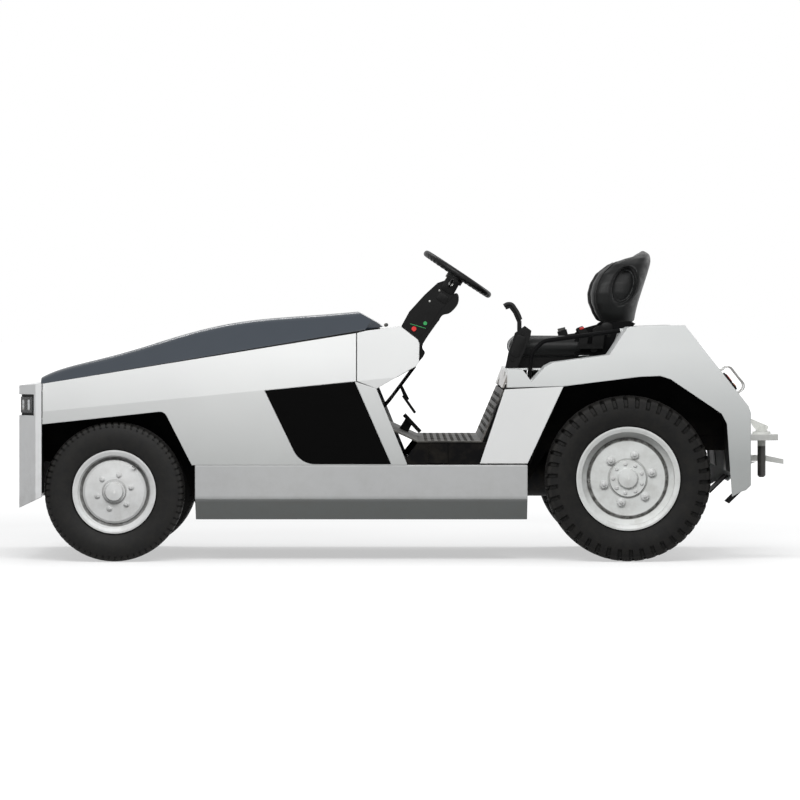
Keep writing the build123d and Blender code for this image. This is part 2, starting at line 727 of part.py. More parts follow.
def make_cheek(side):
    """One side of the cowl, leaning above the crease and upright below it."""
    inward = 1 if side < 0 else -1
    with BuildPart() as cheek:
        with BuildSketch(facet_plane(side)):
            Polygon(*on_facet([(seam_x, on_line(crease[0], crease[1], seam_x))] + cowl_top + [crease_end]))
        extrude(amount=body_plate * -inward)
        with BuildSketch(plane_of_y(side * half_width)):
            Polygon((seam_x, on_line(crease[0], crease[1], seam_x)), crease_end, pillar[1])
        extrude(amount=body_plate * -inward)
    return cheek.part


dash_start = hood_base[1][0] + swing_gap
dash_line = [(dash_start, on_line(cowl_top[1], cowl_top[2], dash_start))] + cowl_top[2:]
skin_middle = half_width - body_plate / 2
with BuildPart() as cowl:
    with BuildSketch(plane_of_y(half_width)):
        Polygon(*folded(dash_line, floor_plate))
    extrude(amount=overall_width)
    with BuildSketch(Plane.YZ.offset(seam_x)):
        dash_low, dash_high = crease_rear[1], cowl_shoulder[1] + 40
        narrow = skin_middle - lean_run * (dash_high - dash_low)
        Polygon((-skin_middle, dash_low), (-narrow, dash_high), (narrow, dash_high), (skin_middle, dash_low))
    extrude(amount=half_width, mode=Mode.INTERSECT)
    add(make_cheek(-1))
    add(make_cheek(1))
write("cowl", cowl.part)

# Firewall under the dash, and the folded tread plate of toe board, floor and riser
with BuildPart() as firewall:
    with BuildSketch(plane_of_y(firewall_half_width)):
        Polygon(*folded(front_points(firewall_line), liner_plate))
    extrude(amount=2 * firewall_half_width)
write("firewall", firewall.part)

floor_half_width = half_width - body_plate - rest_gap
floor_line = front_points([firewall_line[-1], (floor_front, floor_z)])
floor_line += rear_points([(floor_rear, floor_z), riser_top])
with BuildPart() as floor:
    with BuildSketch(plane_of_y(floor_half_width)):
        Polygon(*folded(floor_line, floor_plate))
    extrude(amount=2 * floor_half_width)
write("floor", floor.part)

# Dark aprons between the floor and the sill, each with a step bracket
with BuildPart() as floor_aprons:
    apron_top_z = floor_z - floor_plate - rest_gap
    apron = front_points([(apron_front, apron_foot_z), (floor_front, apron_top_z)])
    apron += rear_points([(apron_rear[0], apron_top_z), (apron_rear[1], apron_foot_z)])
    with BuildSketch(plane_of_y(apron_out)):
        Polygon(*apron)
    extrude(amount=apron_plate)
    with BuildSketch(plane_of_y(apron_out - 1 + step_bracket[2])):
        with Locations((front_axle_x + step_bracket[0], (sill_top + floor_z) / 2 - 2)):
            Rectangle(step_bracket[1], floor_z - sill_top - 20)
    extrude(amount=step_bracket[2])
    mirror(about=Plane.XZ)
write("floor_aprons", floor_aprons.part)

# Wheelhouses: bent liners over each wheel with an upright inner wall
front_liner = front_points([front_liner_ends[0]] + front_crown + [front_liner_ends[1]])
rear_liner = rear_points([rear_liner_ends[0]] + rear_crown + [rear_liner_ends[1]])
front_foot_z = rail_front[1] - wall_lap
front_feet = [(along, front_foot_z) for along in front_wall_feet]
front_wall = front_points([front_feet[0]] + front_crown + [front_feet[1]])
rear_foot_z = rail_rear[1] - wall_lap
rear_feet = [(along, rear_foot_z) for along in rear_wall_feet]
rear_wall = rear_points([rear_feet[0]] + rear_crown + [rear_feet[1]])
liner_out = half_width - bumper_plate - 8
wall_in = rail_out + rest_gap


def make_wheelhouse(line, wall, inner):
    """Both sides' liners over one axle."""
    with BuildPart() as house:
        with BuildSketch(plane_of_y(liner_out)):
            Polygon(*folded(line, liner_plate))
        extrude(amount=liner_out - inner)
        with BuildSketch(plane_of_y(inner + liner_plate)):
            Polygon(*wall)
        extrude(amount=liner_plate)
        mirror(about=Plane.XZ)
    return house.part


write("wheelhouses_front", make_wheelhouse(front_liner, front_wall, wall_in))
write("wheelhouses_rear", make_wheelhouse(rear_liner, rear_wall, wall_in))

# Seat box: two folded side plates beside the footwell's riser
box = rear_points(box_side)
with BuildPart() as seat_box:
    with BuildSketch(plane_of_y(half_width)):
        Polygon(*box)
    extrude(amount=body_plate)
    mirror(about=Plane.XZ)
write("seat_box", seat_box.part)

# Fenders: folded tops with an outer plate cut to the rear wheel's arch
top_line = rear_points(fender_top)
with BuildPart() as fenders:
    with BuildSketch(plane_of_y(half_width)):
        Polygon(*folded(top_line, body_plate))
    extrude(amount=half_width - fender_in)
    with BuildSketch(plane_of_y(half_width)):
        Polygon(*top_line, *rear_points(fender_arch))
    extrude(amount=body_plate)
    with BuildSketch(Plane.XY.offset(fender_top[0][1] - 1)):
        pod_front, pod_rear = top_line[0][0] - 1, top_line[3][0] - 3
        Polygon((pod_front, half_width + 1), (pod_front, half_width - pod_corner),
                (pod_front + pod_corner + 2, half_width + 1))
        Polygon((pod_front - 1, fender_in - 1), (pod_front - 1, fender_in + pod_corner),
                (pod_front + pod_corner + 2, fender_in - 1))
    extrude(amount=120, mode=Mode.SUBTRACT)
    mirror(about=Plane.XZ)
write("fenders", fenders.part)

# Seat deck and rear cover between the fenders
deck = rear_points([(fender_top[0][0] + floor_plate, fender_top[0][1]), (deck_front[0], deck_z),
                    (deck_front[1], deck_z), (rear_top[0], rear_top_z), (rear_top[1], rear_top_z),
                    rear_cover_foot, (rear_cover_foot[0], hitch_plate_z[1] + rest_gap)])
with BuildPart() as rear_cover:
    with BuildSketch(plane_of_y(fender_in - seam / 2)):
        Polygon(*folded(deck, body_plate))
    extrude(amount=2 * fender_in - seam)
write("rear_cover", rear_cover.part)

# Mud flaps behind the rear wheels
with BuildPart() as mud_flaps:
    with BuildSketch(plane_of_y(half_width - 20)):
        Polygon(*rear_points(flap_line))
    extrude(amount=flap_width)
    mirror(about=Plane.XZ)
write("mud_flaps", mud_flaps.part)

# Seat: a pan on the deck, a cushion between side bolsters, and a wrap-round back
seat_z = deck_z + rest_gap
cushion_z = seat_z + seat_pan_height + rest_gap
with BuildPart() as seat_base:
    with BuildSketch(Plane.XY.offset(seat_z)):
        with Locations((rear_axle_x + seat_pan[0], 0)):
            RectangleRounded(seat_pan[1], seat_pan[2], 20)
    extrude(amount=seat_pan_height)
    with BuildSketch(plane_of_y(back_post_half)):
        Polygon(*rear_points([(seat_post[0][0], seat_z)] + seat_post + [
            (seat_post[-1][0], rear_top_z + rest_gap), (rear_top[0] - 0.6, rear_top_z + rest_gap),
            (deck_front[1] - 0.5, seat_z)]))
    extrude(amount=2 * back_post_half)
write("seat_base", seat_base.part)

cushion_front, cushion_rear = (rear_axle_x + x for x in cushion_span)
bolster_z = cushion_z + bolster_radius
with BuildPart() as seat_cushion:
    with BuildSketch(plane_of_y(bolster_out)):
        with BuildLine():
            foot, heel = (cushion_front + 30, cushion_z), (cushion_rear, cushion_z + 72)
            Polyline(foot, (cushion_rear, cushion_z), heel)
            Spline(heel, *[(cushion_front + back, cushion_z + rise) for back, rise in cushion_crown], foot)
        make_face()
    extrude(amount=2 * bolster_out)
    for side in (-1, 1):
        with BuildSketch(Plane.YZ.offset(cushion_front + bolster_radius)):
            with Locations((side * bolster_out, bolster_z)):
                Circle(bolster_radius)
        extrude(amount=cushion_rear - cushion_front - bolster_radius)
        with Locations((cushion_front + bolster_radius, side * bolster_out, bolster_z)):
            Sphere(bolster_radius)
write("seat_cushion", seat_cushion.part)

with BuildPart() as seat_back:
    with BuildSketch(plane_of_y(back_half)):
        with BuildLine():
            Spline(*rear_points(back_front), tangents=((-0.35, 1), (1, 0.15)))
            Polyline(*rear_points(back_rear + back_front[:1]))
        make_face()
    extrude(amount=2 * back_half)
    with BuildSketch(plane_of_y(back_hollow_half)):
        Polygon(*rear_points(back_hollow))
    extrude(amount=2 * back_hollow_half, mode=Mode.SUBTRACT)
    with BuildSketch(Plane.YZ.offset(rear_axle_x - 220)):
        with BuildLine():
            wing = [(back_half - inside, height) for inside, height in back_wings]
            foot = (back_foot_half, back_foot_z)
            Line((-foot[0], foot[1]), foot)
            Spline(foot, *wing, (0, back_top_z), *[(-y, z) for y, z in wing[::-1]], (-foot[0], foot[1]))
        make_face()
    extrude(amount=450, mode=Mode.INTERSECT)
    for side in (-1, 1):
        with BuildSketch(plane_of_y(side * back_half)):
            with Locations(Location((rear_axle_x + flank_hollow[0], flank_hollow[1]), -18)):
                Ellipse(*flank_hollow[2:])
        extrude(amount=side * flank_depth, mode=Mode.SUBTRACT)
write("seat_back", seat_back.part)

# Hip guards: a bent tube each side of the seat, from the fender's step down into its notch
with BuildPart() as hip_guards:
    with BuildLine(plane_of_y(-guard_out)):
        guard_run = FilletPolyline(*rear_points(guard_line), radius=guard_bend)
    with BuildSketch(Plane(origin=guard_run @ 0, z_dir=guard_run % 0)):
        Circle(guard_radius)
    sweep(path=guard_run)
    mirror(about=Plane.XZ)
write("hip_guards", hip_guards.part)

# Parking brake lever on its console at the driver's left
with BuildPart() as brake_lever:
    with BuildSketch(plane_of_y(-lever_out)):
        Polygon(*rear_points(console_side))
    extrude(amount=lever_console)
    with BuildSketch(plane_of_y(-lever_out - (lever_console - lever_width) / 2)):
        Polygon(*folded(rear_points(lever_line), lever_depth))
    extrude(amount=lever_width)
write("brake_lever", brake_lever.part)

# Seat belt's buckle and reel beside the cushion
with BuildPart() as belt_buckle:
    with BuildSketch(plane_of_y(-buckle_out)):
        Polygon(*rear_points(buckle_side))
    extrude(amount=buckle_gauge)
write("belt_buckle", belt_buckle.part)

# Steering column: a moulded shroud rising from the dash, with its shaft on the wheel's axis
wheel_centre = Vector(front_axle_x + wheel_hub[0], 0, wheel_hub[1])
wheel_tilt = radians(wheel_lean)
wheel_axis = Vector(cos(wheel_tilt), 0, sin(wheel_tilt))
hub_plane = Plane(origin=wheel_centre, x_dir=(0, 1, 0), z_dir=wheel_axis)
dash_rise = rest_gap * hypot(cowl_line[1][0] - cowl_line[0][0], cowl_line[1][1] - cowl_line[0][1]) / (
    cowl_line[1][0] - cowl_line[0][0])
foot_front, foot_rear = [(x, on_line(cowl_line[0], cowl_line[1], x) + dash_rise) for x in column_foot]
with BuildPart() as steering_column:
    with BuildSketch(plane_of_y(column_half)):
        Polygon(*front_points([foot_front] + column_side + [foot_rear]))
    extrude(amount=2 * column_half)
    fillet(steering_column.edges().filter_by(Axis.Y), radius=column_corner)
    with BuildSketch(hub_plane.offset(-hub_depth - hub_gap)):
        Circle(neck_radius)
    extrude(amount=-60)
    with BuildSketch(hub_plane.offset(-hub_depth - hub_gap)):
        Circle(shaft_radius)
    extrude(amount=hub_depth - 12)
write("steering_column", steering_column.part)

with BuildPart() as column_switches:
    for along, height, radius in switches:
        with BuildSketch(plane_of_y(-column_half - rest_gap)):
            with Locations((front_axle_x + along, height)):
                Circle(radius)
        extrude(amount=switch_height)
write("column_switches", column_switches.part)

with BuildPart() as steering_wheel:
    with BuildSketch(Plane(origin=wheel_centre, x_dir=(0, 1, 0), z_dir=wheel_axis.cross(Vector(0, 1, 0)))):
        with Locations((wheel_radius - grip_radius, 0)):
            Circle(grip_radius)
    revolve(axis=Axis(wheel_centre, wheel_axis))
    with BuildSketch(hub_plane.offset(-hub_depth)):
        Circle(hub_radius)
    extrude(amount=hub_depth + 4)
    with BuildSketch(hub_plane.offset(-hub_depth)):
        Circle(shaft_radius + bearing_gap)
    extrude(amount=hub_depth - 8, mode=Mode.SUBTRACT)
    with BuildSketch(hub_plane.offset(-spoke_gauge / 2 - 6)):
        with PolarLocations(0, 3, start_angle=90):
            with Locations(((wheel_radius + hub_radius) / 2 - 12, 0)):
                Rectangle(wheel_radius - hub_radius - 8, 36)
    extrude(amount=spoke_gauge)
write("steering_wheel", steering_wheel.part)

# Pedals: a hanging brake pedal on its arm and a treadle on its bracket
with BuildPart() as pedals:
    for outline, near_y, width in pedal_forms:
        with BuildSketch(plane_of_y(-near_y)):
            Polygon(*front_points(outline))
        extrude(amount=width)
write("pedals", pedals.part)

# Tail lamps on the rear slope, each behind a bent wire guard
slope_top, slope_foot = rear_points([fender_top[9], fender_top[10]])
slope_angle = atan2(slope_foot[1] - slope_top[1], slope_foot[0] - slope_top[0])
slope_normal = (-sin(slope_angle), cos(slope_angle))


def on_slope(down, out):
    """A point on the rear slope, that far down from its top edge and that far off the sheet."""
    return (slope_top[0] + down * cos(slope_angle) + out * slope_normal[0],
            slope_top[1] + down * sin(slope_angle) + out * slope_normal[1])


lamp_seat = on_slope(tail_lamp_down, rest_gap)
with BuildPart() as tail_lamps:
    for side in (-1, 1):
        with BuildSketch(Plane(origin=(lamp_seat[0], side * tail_lamp_out, lamp_seat[1]), x_dir=(0, 1, 0),
                               z_dir=(slope_normal[0], 0, slope_normal[1]))):
            RectangleRounded(tail_lamp_size[0], tail_lamp_size[1], 14)
        extrude(amount=tail_lamp_size[2], taper=8)
write("tail_lamps", tail_lamps.part)

with BuildPart() as lamp_guards:
    for side in (-1, 1):
        for spread in (-guard_spread / 2, guard_spread / 2):
            y = side * tail_lamp_out + spread
            with BuildLine(plane_of_y(y)):
                hoop = FilletPolyline(on_slope(tail_lamp_down - guard_span / 2, rest_gap),
                                      on_slope(tail_lamp_down - guard_span / 2, guard_stand),
                                      on_slope(tail_lamp_down + guard_span / 2, guard_stand),
                                      on_slope(tail_lamp_down + guard_span / 2, rest_gap), radius=26)
            with BuildSketch(Plane(origin=hoop @ 0, z_dir=hoop % 0)):
                Circle(guard_wire)
            sweep(path=hoop)
        with BuildSketch(plane_of_y(side * tail_lamp_out + guard_spread / 2)):
            with Locations(on_slope(tail_lamp_down, guard_stand)):
                Circle(guard_wire - 0.5)
        extrude(amount=guard_spread)
write("lamp_guards", lamp_guards.part)

# Hitch: a back plate across the frame's ends, two jaw plates and the pin that drops through them
hitch_x = rear_axle_x + pin_station
plate_x = rear_axle_x + rail_end
jaw_plan = [(plate_x, -jaw_root), (hitch_x + 10, -jaw_waist), (hitch_x + jaw_nose, -jaw_tip),
            (hitch_x + jaw_nose, jaw_tip), (hitch_x + 10, jaw_waist), (plate_x, jaw_root)]
lip_x = rear_axle_x + rear_overhang
with BuildPart() as hitch_bracket:
    with BuildSketch(Plane.YZ.offset(plate_x)):
        with Locations((0, (hitch_plate_z[0] + hitch_plate_z[1]) / 2)):
            Rectangle(2 * rail_out, hitch_plate_z[1] - hitch_plate_z[0])
    extrude(amount=hitch_plate)
    with BuildSketch(Plane.XY.offset(jaw_top_z[0])):
        Polygon(*jaw_plan)
    extrude(amount=jaw_top_z[1] - jaw_top_z[0])
    with BuildSketch(Plane.XY.offset(jaw_top_z[1] - 1)):
        with Locations((hitch_x, 0)):
            Circle(collar_radius)
    extrude(amount=collar_height + 1)
    with BuildSketch(plane_of_y(jaw_root)):
        Polygon((plate_x, jaw_low_z[0]), (hitch_x + 16, jaw_low_z[0]), (lip_x, lip_z[0]), (lip_x, lip_z[1]),
                (hitch_x + 16, jaw_low_z[1]), (plate_x, jaw_low_z[1]))
    extrude(amount=jaw_root, both=True)
    for side in (-1, 1):
        with BuildSketch(Plane.XY.offset(lip_z[0] - 5)):
            root_x = plate_x + hitch_plate
            Polygon((root_x, side * jaw_root), (hitch_x + 10, side * jaw_waist), (lip_x + 5, side * lip_half),
                    (lip_x + 5, side * 2 * jaw_root), (root_x, side * 2 * jaw_root))
        extrude(amount=jaw_low_z[1] - lip_z[0] + 10, mode=Mode.SUBTRACT)
        with BuildSketch(plane_of_y(side * (jaw_waist - 12) + 6)):
            Polygon((plate_x, hitch_plate_z[0] + 8), (hitch_x - 30, jaw_low_z[0]), (plate_x, jaw_low_z[0]))
        extrude(amount=12)
    with BuildSketch(Plane.XY.offset(lip_z[0] - 20)):
        with Locations((hitch_x, 0)):
            Circle(pin_radius + bearing_gap)
    extrude(amount=jaw_top_z[1] + collar_height - lip_z[0] + 40, mode=Mode.SUBTRACT)
write("hitch_bracket", hitch_bracket.part)

with BuildPart() as hitch_pin:
    with BuildSketch(Plane.XY.offset(pin_foot)):
        with Locations((hitch_x, 0)):
            Circle(pin_radius)
    extrude(amount=jaw_top_z[1] + 40 - pin_foot)
    chamfer(hitch_pin.edges().group_by(Axis.Z)[0], length=8)
    with BuildSketch(Plane.XY.offset(jaw_top_z[1] + collar_height + rest_gap)):
        with Locations((hitch_x, 0)):
            Circle(pin_radius + 9)
    extrude(amount=8)
    with BuildSketch(plane_of_y(handle_gauge / 2)):
        with BuildLine():
            rocker = [(hitch_x + along, jaw_top_z[1] + rise) for along, rise in handle_rocker]
            top = [(hitch_x + along, jaw_top_z[1] + rise) for along, rise in handle_top]
            ThreePointArc(*rocker)
            Polyline(rocker[-1], *top, rocker[0])
        make_face()
    extrude(amount=handle_gauge)
write("hitch_pin", hitch_pin.part)

# Drive axle: tube, gear housing and motor, with a brake backing plate and a stub into each rear wheel
front_wheel, rear_wheel = wheel_sizes["front"], wheel_sizes["rear"]


def wheel_faces(s):
    """Distances from the centre plane: the drum's inner end and the inner end of the hub cap's bore."""
    disc_face = half_width - tyre_set_in - (s["tyre_width"] - s["rim_width"]) / 2 - s["disc_set_in"]
    return (disc_face - disc_gauge - s["drum_depth"], disc_face + s["disc_crown"] - 2)


rear_drum, rear_bore_end = wheel_faces(rear_wheel)
axle_forms = [(axle_tube_radius, rear_drum - backing_gap), (rear_wheel["stub_radius"], rear_bore_end - 2),
              (gear_radius, gear_half)]  # radius, half length
with BuildPart() as drive_axle:
    for radius, reach in axle_forms:
        with BuildSketch(plane_of_y(reach)):
            with Locations((rear_axle_x, rear_wheel["tyre_radius"])):
                Circle(radius)
        extrude(amount=2 * reach)
    for side in (-1, 1):
        with BuildSketch(plane_of_y(side * (rear_drum - backing_gap - backing_gauge / 2))):
            with Locations((rear_axle_x, rear_wheel["tyre_radius"])):
                Circle(rear_wheel["drum_radius"])
        extrude(amount=backing_gauge / 2, both=True)
    with BuildSketch(Plane.YZ.offset(rear_axle_x - motor_reach)):
        with Locations((0, rear_wheel["tyre_radius"])):
            Circle(motor_radius)
    extrude(amount=motor_reach)
write("drive_axle", drive_axle.part)

# Front axle: a beam with an eye and a fixed kingpin at each end
front_drum, front_bore_end = wheel_faces(front_wheel)
axle_z = front_wheel["tyre_radius"]
with BuildPart() as front_axle:
    with BuildSketch(Plane.XY.offset(axle_z - beam_height / 2)):
        with Locations((front_axle_x, 0)):
            Rectangle(beam_width, 2 * kingpin_out)
        with Locations((front_axle_x, -kingpin_out), (front_axle_x, kingpin_out)):
            Circle(eye_radius)
    extrude(amount=beam_height)
    with BuildSketch(Plane.XY.offset(axle_z - fork_height)):
        with Locations((front_axle_x, -kingpin_out), (front_axle_x, kingpin_out)):
            Circle(kingpin_radius)
    extrude(amount=2 * fork_height)
write("front_axle", front_axle.part)


# Leaf springs over both axles, their eyes hung under the frame's side plates
def make_springs(axle_x, seat_height, rail_height, half_span):
    """A pair of leaf packs on one axle, the top leaf curving up to its eyes."""
    eye_z = rail_height - spring_eye - rest_gap
    middle = seat_height + rest_gap + spring_leaves * leaf_gauge
    with BuildPart() as springs:
        for leaf in range(spring_leaves):
            reach = half_span * (1 - 0.24 * leaf)
            low = middle - (leaf + 1) * leaf_gauge
            rise = (eye_z - middle) * (reach / half_span) ** 2
            with BuildSketch(plane_of_y(spring_out + spring_width / 2)):
                with BuildLine():
                    ThreePointArc((axle_x - reach, low + rise), (axle_x, low), (axle_x + reach, low + rise))
                    Line((axle_x + reach, low + rise), (axle_x + reach, low + rise + leaf_gauge))
                    ThreePointArc((axle_x + reach, low + rise + leaf_gauge), (axle_x, low + leaf_gauge),
                                  (axle_x - reach, low + rise + leaf_gauge))
                    Line((axle_x - reach, low + rise + leaf_gauge), (axle_x - reach, low + rise))
                make_face()
            extrude(amount=spring_width)
        with BuildSketch(plane_of_y(spring_out + spring_width / 2)):
            with Locations((axle_x - half_span, eye_z), (axle_x + half_span, eye_z)):
                Circle(spring_eye)
        extrude(amount=spring_width)
        mirror(about=Plane.XZ)
    return springs.part


rear_seat = rear_wheel["tyre_radius"] + axle_tube_radius
write("springs_front", make_springs(front_axle_x, axle_z + beam_height / 2, rail_front[0], spring_spans[0]))
write("springs_rear", make_springs(rear_axle_x, rear_seat, rail_rear[0], spring_spans[1]))


# Front steering: a forked knuckle at each end of the beam, and the tie rod between their arms
def make_knuckle(side):
    """Fork, stub, backing plate and steering arm, turning about the kingpin."""
    pin = (front_axle_x, side * kingpin_out)
    plate = front_drum - backing_gap
    with BuildPart() as knuckle:
        for low in (axle_z + fork_gap, axle_z - fork_height + 8):
            with BuildSketch(Plane.XY.offset(low)):
                with Locations(pin):
                    Circle(eye_radius)
                with Locations((front_axle_x, side * (kingpin_out + plate) / 2)):
                    Rectangle(2 * eye_radius, plate - kingpin_out)
            extrude(amount=fork_height - fork_gap - 8)
        with BuildSketch(Plane.XY.offset(axle_z - fork_height + 8)):
            with Locations((front_axle_x, side * (plate - upright_gauge / 2))):
                Rectangle(2 * eye_radius + 16, upright_gauge)
        extrude(amount=2 * fork_height - 16)
        with BuildSketch(plane_of_y(side * (plate - backing_gauge / 4))):
            with Locations((front_axle_x, axle_z)):
                Circle(front_wheel["drum_radius"] - 4)
        extrude(amount=backing_gauge / 4, both=True)
        with BuildSketch(plane_of_y(side * (plate - upright_gauge / 2))):
            with Locations((front_axle_x, axle_z)):
                Circle(front_wheel["stub_radius"])
        extrude(amount=-side * (front_bore_end - 2 - plate + upright_gauge / 2))
        with BuildSketch(Plane.XY.offset(axle_z - fork_height + 8)):
            with Locations((front_axle_x + arm_length / 2, side * kingpin_out)):
                Rectangle(arm_length, 2 * rod_eye - 4)
            with Locations((front_axle_x + arm_length, side * kingpin_out)):
                Circle(rod_eye)
        extrude(amount=arm_gauge)
        with BuildSketch(Plane.XY.offset(axle_z - fork_height - rod_drop)):
            with Locations((front_axle_x + arm_length, side * kingpin_out)):
                Circle(rod_pin)
        extrude(amount=rod_drop + 10)
        with BuildSketch(Plane.XY.offset(axle_z - fork_height)):
            with Locations(pin):
                Circle(kingpin_radius + bearing_gap)
        extrude(amount=2 * fork_height, mode=Mode.SUBTRACT)
    return knuckle.part


write("knuckle_left", make_knuckle(-1))
write("knuckle_right", make_knuckle(1))

rod_z = axle_z - fork_height + 8 - rest_gap - rod_eye_height / 2
with BuildPart() as tie_rod:
    with BuildSketch(plane_of_y(kingpin_out - rod_eye + 3)):
        with Locations((front_axle_x + arm_length, rod_z)):
            Circle(rod_radius)
    extrude(amount=2 * (kingpin_out - rod_eye + 3))
    with BuildSketch(Plane.XY.offset(rod_z - rod_eye_height / 2)):
        with Locations((front_axle_x + arm_length, -kingpin_out), (front_axle_x + arm_length, kingpin_out)):
            Circle(rod_eye)
    extrude(amount=rod_eye_height)
    for side, play in ((-1, bearing_gap), (1, open_pivot_gap)):
        with BuildSketch(Plane.XY.offset(rod_z - rod_eye_height / 2)):
            with Locations((front_axle_x + arm_length, side * kingpin_out)):
                Circle(rod_pin + play)
        extrude(amount=rod_eye_height, mode=Mode.SUBTRACT)
write("tie_rod", tie_rod.part)
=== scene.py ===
"""Airport baggage tug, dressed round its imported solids.

Metres, in the frame of the solids: +X from the nose to the hitch, +Y to the driver's right, +Z up.
New pieces are parametric surfaces worked out with numpy. Every finish is a node material that reads
Object coordinates or an attribute of the piece.
"""

import logging
import math
from dataclasses import dataclass
from enum import Enum
from typing import Any

import bpy
import numpy as np
from numpy.typing import NDArray
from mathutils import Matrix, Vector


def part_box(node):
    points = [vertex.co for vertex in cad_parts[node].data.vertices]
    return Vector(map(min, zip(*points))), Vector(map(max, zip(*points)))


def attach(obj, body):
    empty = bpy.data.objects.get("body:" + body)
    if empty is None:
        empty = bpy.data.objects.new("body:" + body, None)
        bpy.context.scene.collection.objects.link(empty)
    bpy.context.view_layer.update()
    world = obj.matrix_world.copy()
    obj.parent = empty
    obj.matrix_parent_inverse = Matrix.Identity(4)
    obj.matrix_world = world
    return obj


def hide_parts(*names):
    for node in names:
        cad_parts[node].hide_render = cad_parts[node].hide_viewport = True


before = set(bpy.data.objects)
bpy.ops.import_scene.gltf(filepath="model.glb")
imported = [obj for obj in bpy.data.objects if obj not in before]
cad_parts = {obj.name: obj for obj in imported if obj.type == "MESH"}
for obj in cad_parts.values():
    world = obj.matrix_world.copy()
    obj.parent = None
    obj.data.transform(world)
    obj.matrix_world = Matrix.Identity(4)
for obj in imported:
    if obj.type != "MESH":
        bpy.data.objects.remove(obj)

LOG = logging.getLogger("tug")
Array = NDArray[np.float64]

FRONT_AXLE = (-1.3205, 0.315)
REAR_AXLE = (0.9945, 0.374)
HALF_WIDTH = 0.700
TYRE_SET_IN = 0.015
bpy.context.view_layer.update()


class Side(Enum):
    """The side of the vehicle, as the sign of its Y."""

    LEFT = -1
    RIGHT = 1

    @property
    def word(self) -> str:
        """The side's name as the nodes and bodies spell it."""
        return self.name.lower()


class Tread(Enum):
    """The two tread patterns: ribs with shoulder sipes, or open shoulder lugs."""

    ROAD = "road"
    LUG = "lug"


# Colour and node tools


def linear(code: str) -> tuple[float, float, float, float]:
    """Turns an sRGB hex value into a linear colour.

    Args:
        code: six hex digits.

    Returns:
        Red, green, blue and alpha, linear.
    """
    raw = np.array([int(code[i:i + 2], 16) / 255 for i in (0, 2, 4)])
    low = raw / 12.92
    high = ((raw + 0.055) / 1.055) ** 2.4
    r, g, b = np.where(raw <= 0.04045, low, high)
    return float(r), float(g), float(b), 1.0


def add_node(tree: bpy.types.NodeTree, kind: str, inputs: dict[Any, Any] | None = None,
             **settings: Any) -> bpy.types.Node:
    """Adds a node, sets it and links it.

    Args:
        tree: the material's node tree.
        kind: the node's type name.
        inputs: socket name or number to a value, or to the output socket that feeds it.
        settings: the node's own properties.

    Returns:
        The new node.
    """
    made = tree.nodes.new(kind)
    for name, value in settings.items():
        setattr(made, name, value)
    for key, value in (inputs or {}).items():
        if isinstance(value, bpy.types.NodeSocket):
            tree.links.new(value, made.inputs[key])
        else:
            made.inputs[key].default_value = value
    return made


def ramp(tree: bpy.types.NodeTree, factor: bpy.types.NodeSocket, low: float, high: float,
         to_low: float = 0.0, to_high: float = 1.0) -> bpy.types.NodeSocket:
    """Maps a range of a value onto another range, clamped, and returns the socket."""
    made = add_node(tree, "ShaderNodeMapRange", {"Value": factor, "From Min": low, "From Max": high,
                                                 "To Min": to_low, "To Max": to_high}, clamp=True)
    return made.outputs["Result"]


def blend_colour(tree: bpy.types.NodeTree, factor: Any, first: Any, second: Any) -> bpy.types.NodeSocket:
    """Mixes two colours by a factor and returns the colour socket."""
    made = add_node(tree, "ShaderNodeMix", {0: factor, 6: first, 7: second}, data_type="RGBA")
    return made.outputs[2]


def product(tree: bpy.types.NodeTree, first: Any, second: Any) -> bpy.types.NodeSocket:
    """Multiplies two values and returns the socket."""
    return add_node(tree, "ShaderNodeMath", {0: first, 1: second}, operation="MULTIPLY").outputs[0]


def length(tree: bpy.types.NodeTree, vector: bpy.types.NodeSocket) -> bpy.types.NodeSocket:
    """Measures a vector and returns the socket."""
    return add_node(tree, "ShaderNodeVectorMath", {0: vector}, operation="LENGTH").outputs["Value"]


def noise(tree: bpy.types.NodeTree, where: bpy.types.NodeSocket, wave_mm: float, detail: float = 2.0,
          rough: float = 0.5) -> bpy.types.NodeSocket:
    """Noise whose features are about wave_mm across, returned as its factor."""
    made = add_node(tree, "ShaderNodeTexNoise", {"Vector": where, "Scale": 1000 / wave_mm, "Detail": detail,
                                                 "Roughness": rough})
    return made.outputs["Fac"]


# Finishes


@dataclass(frozen=True)
class Finish:
    """A surface finish. Its name says the material and how it was worked."""

    name: str
    colour: str
    roughness: float = 0.5
    specular: float = 0.5

    def start(self) -> tuple[bpy.types.Material, bpy.types.NodeTree, bpy.types.Node, bpy.types.NodeSocket]:
        """Makes the empty material.

        Returns:
            The material, its tree, its shader and the Object coordinate socket.
        """
        made = bpy.data.materials.new(self.name)
        made.use_nodes = True
        made.diffuse_color = linear(self.colour)
        tree = made.node_tree
        tree.nodes.clear()
        out = add_node(tree, "ShaderNodeOutputMaterial")
        shader = add_node(tree, "ShaderNodeBsdfPrincipled", {"Base Color": linear(self.colour),
                                                             "Roughness": self.roughness,
                                                             "Specular IOR Level": self.specular})
        tree.links.new(shader.outputs[0], out.inputs[0])
        where = add_node(tree, "ShaderNodeTexCoord").outputs["Object"]
        return made, tree, shader, where

    def material(self) -> bpy.types.Material:
        """The finished material, made once and then shared."""
        ready = bpy.data.materials.get(self.name)
        return ready if ready else self.build()

    def build(self) -> bpy.types.Material:
        """A finish with nothing but its colour and a little unevenness."""
        made, tree, shader, where = self.start()
        tree.links.new(ramp(tree, noise(tree, where, 40), 0, 1, self.roughness - 0.05, self.roughness + 0.05),
                       shader.inputs["Roughness"])
        return made


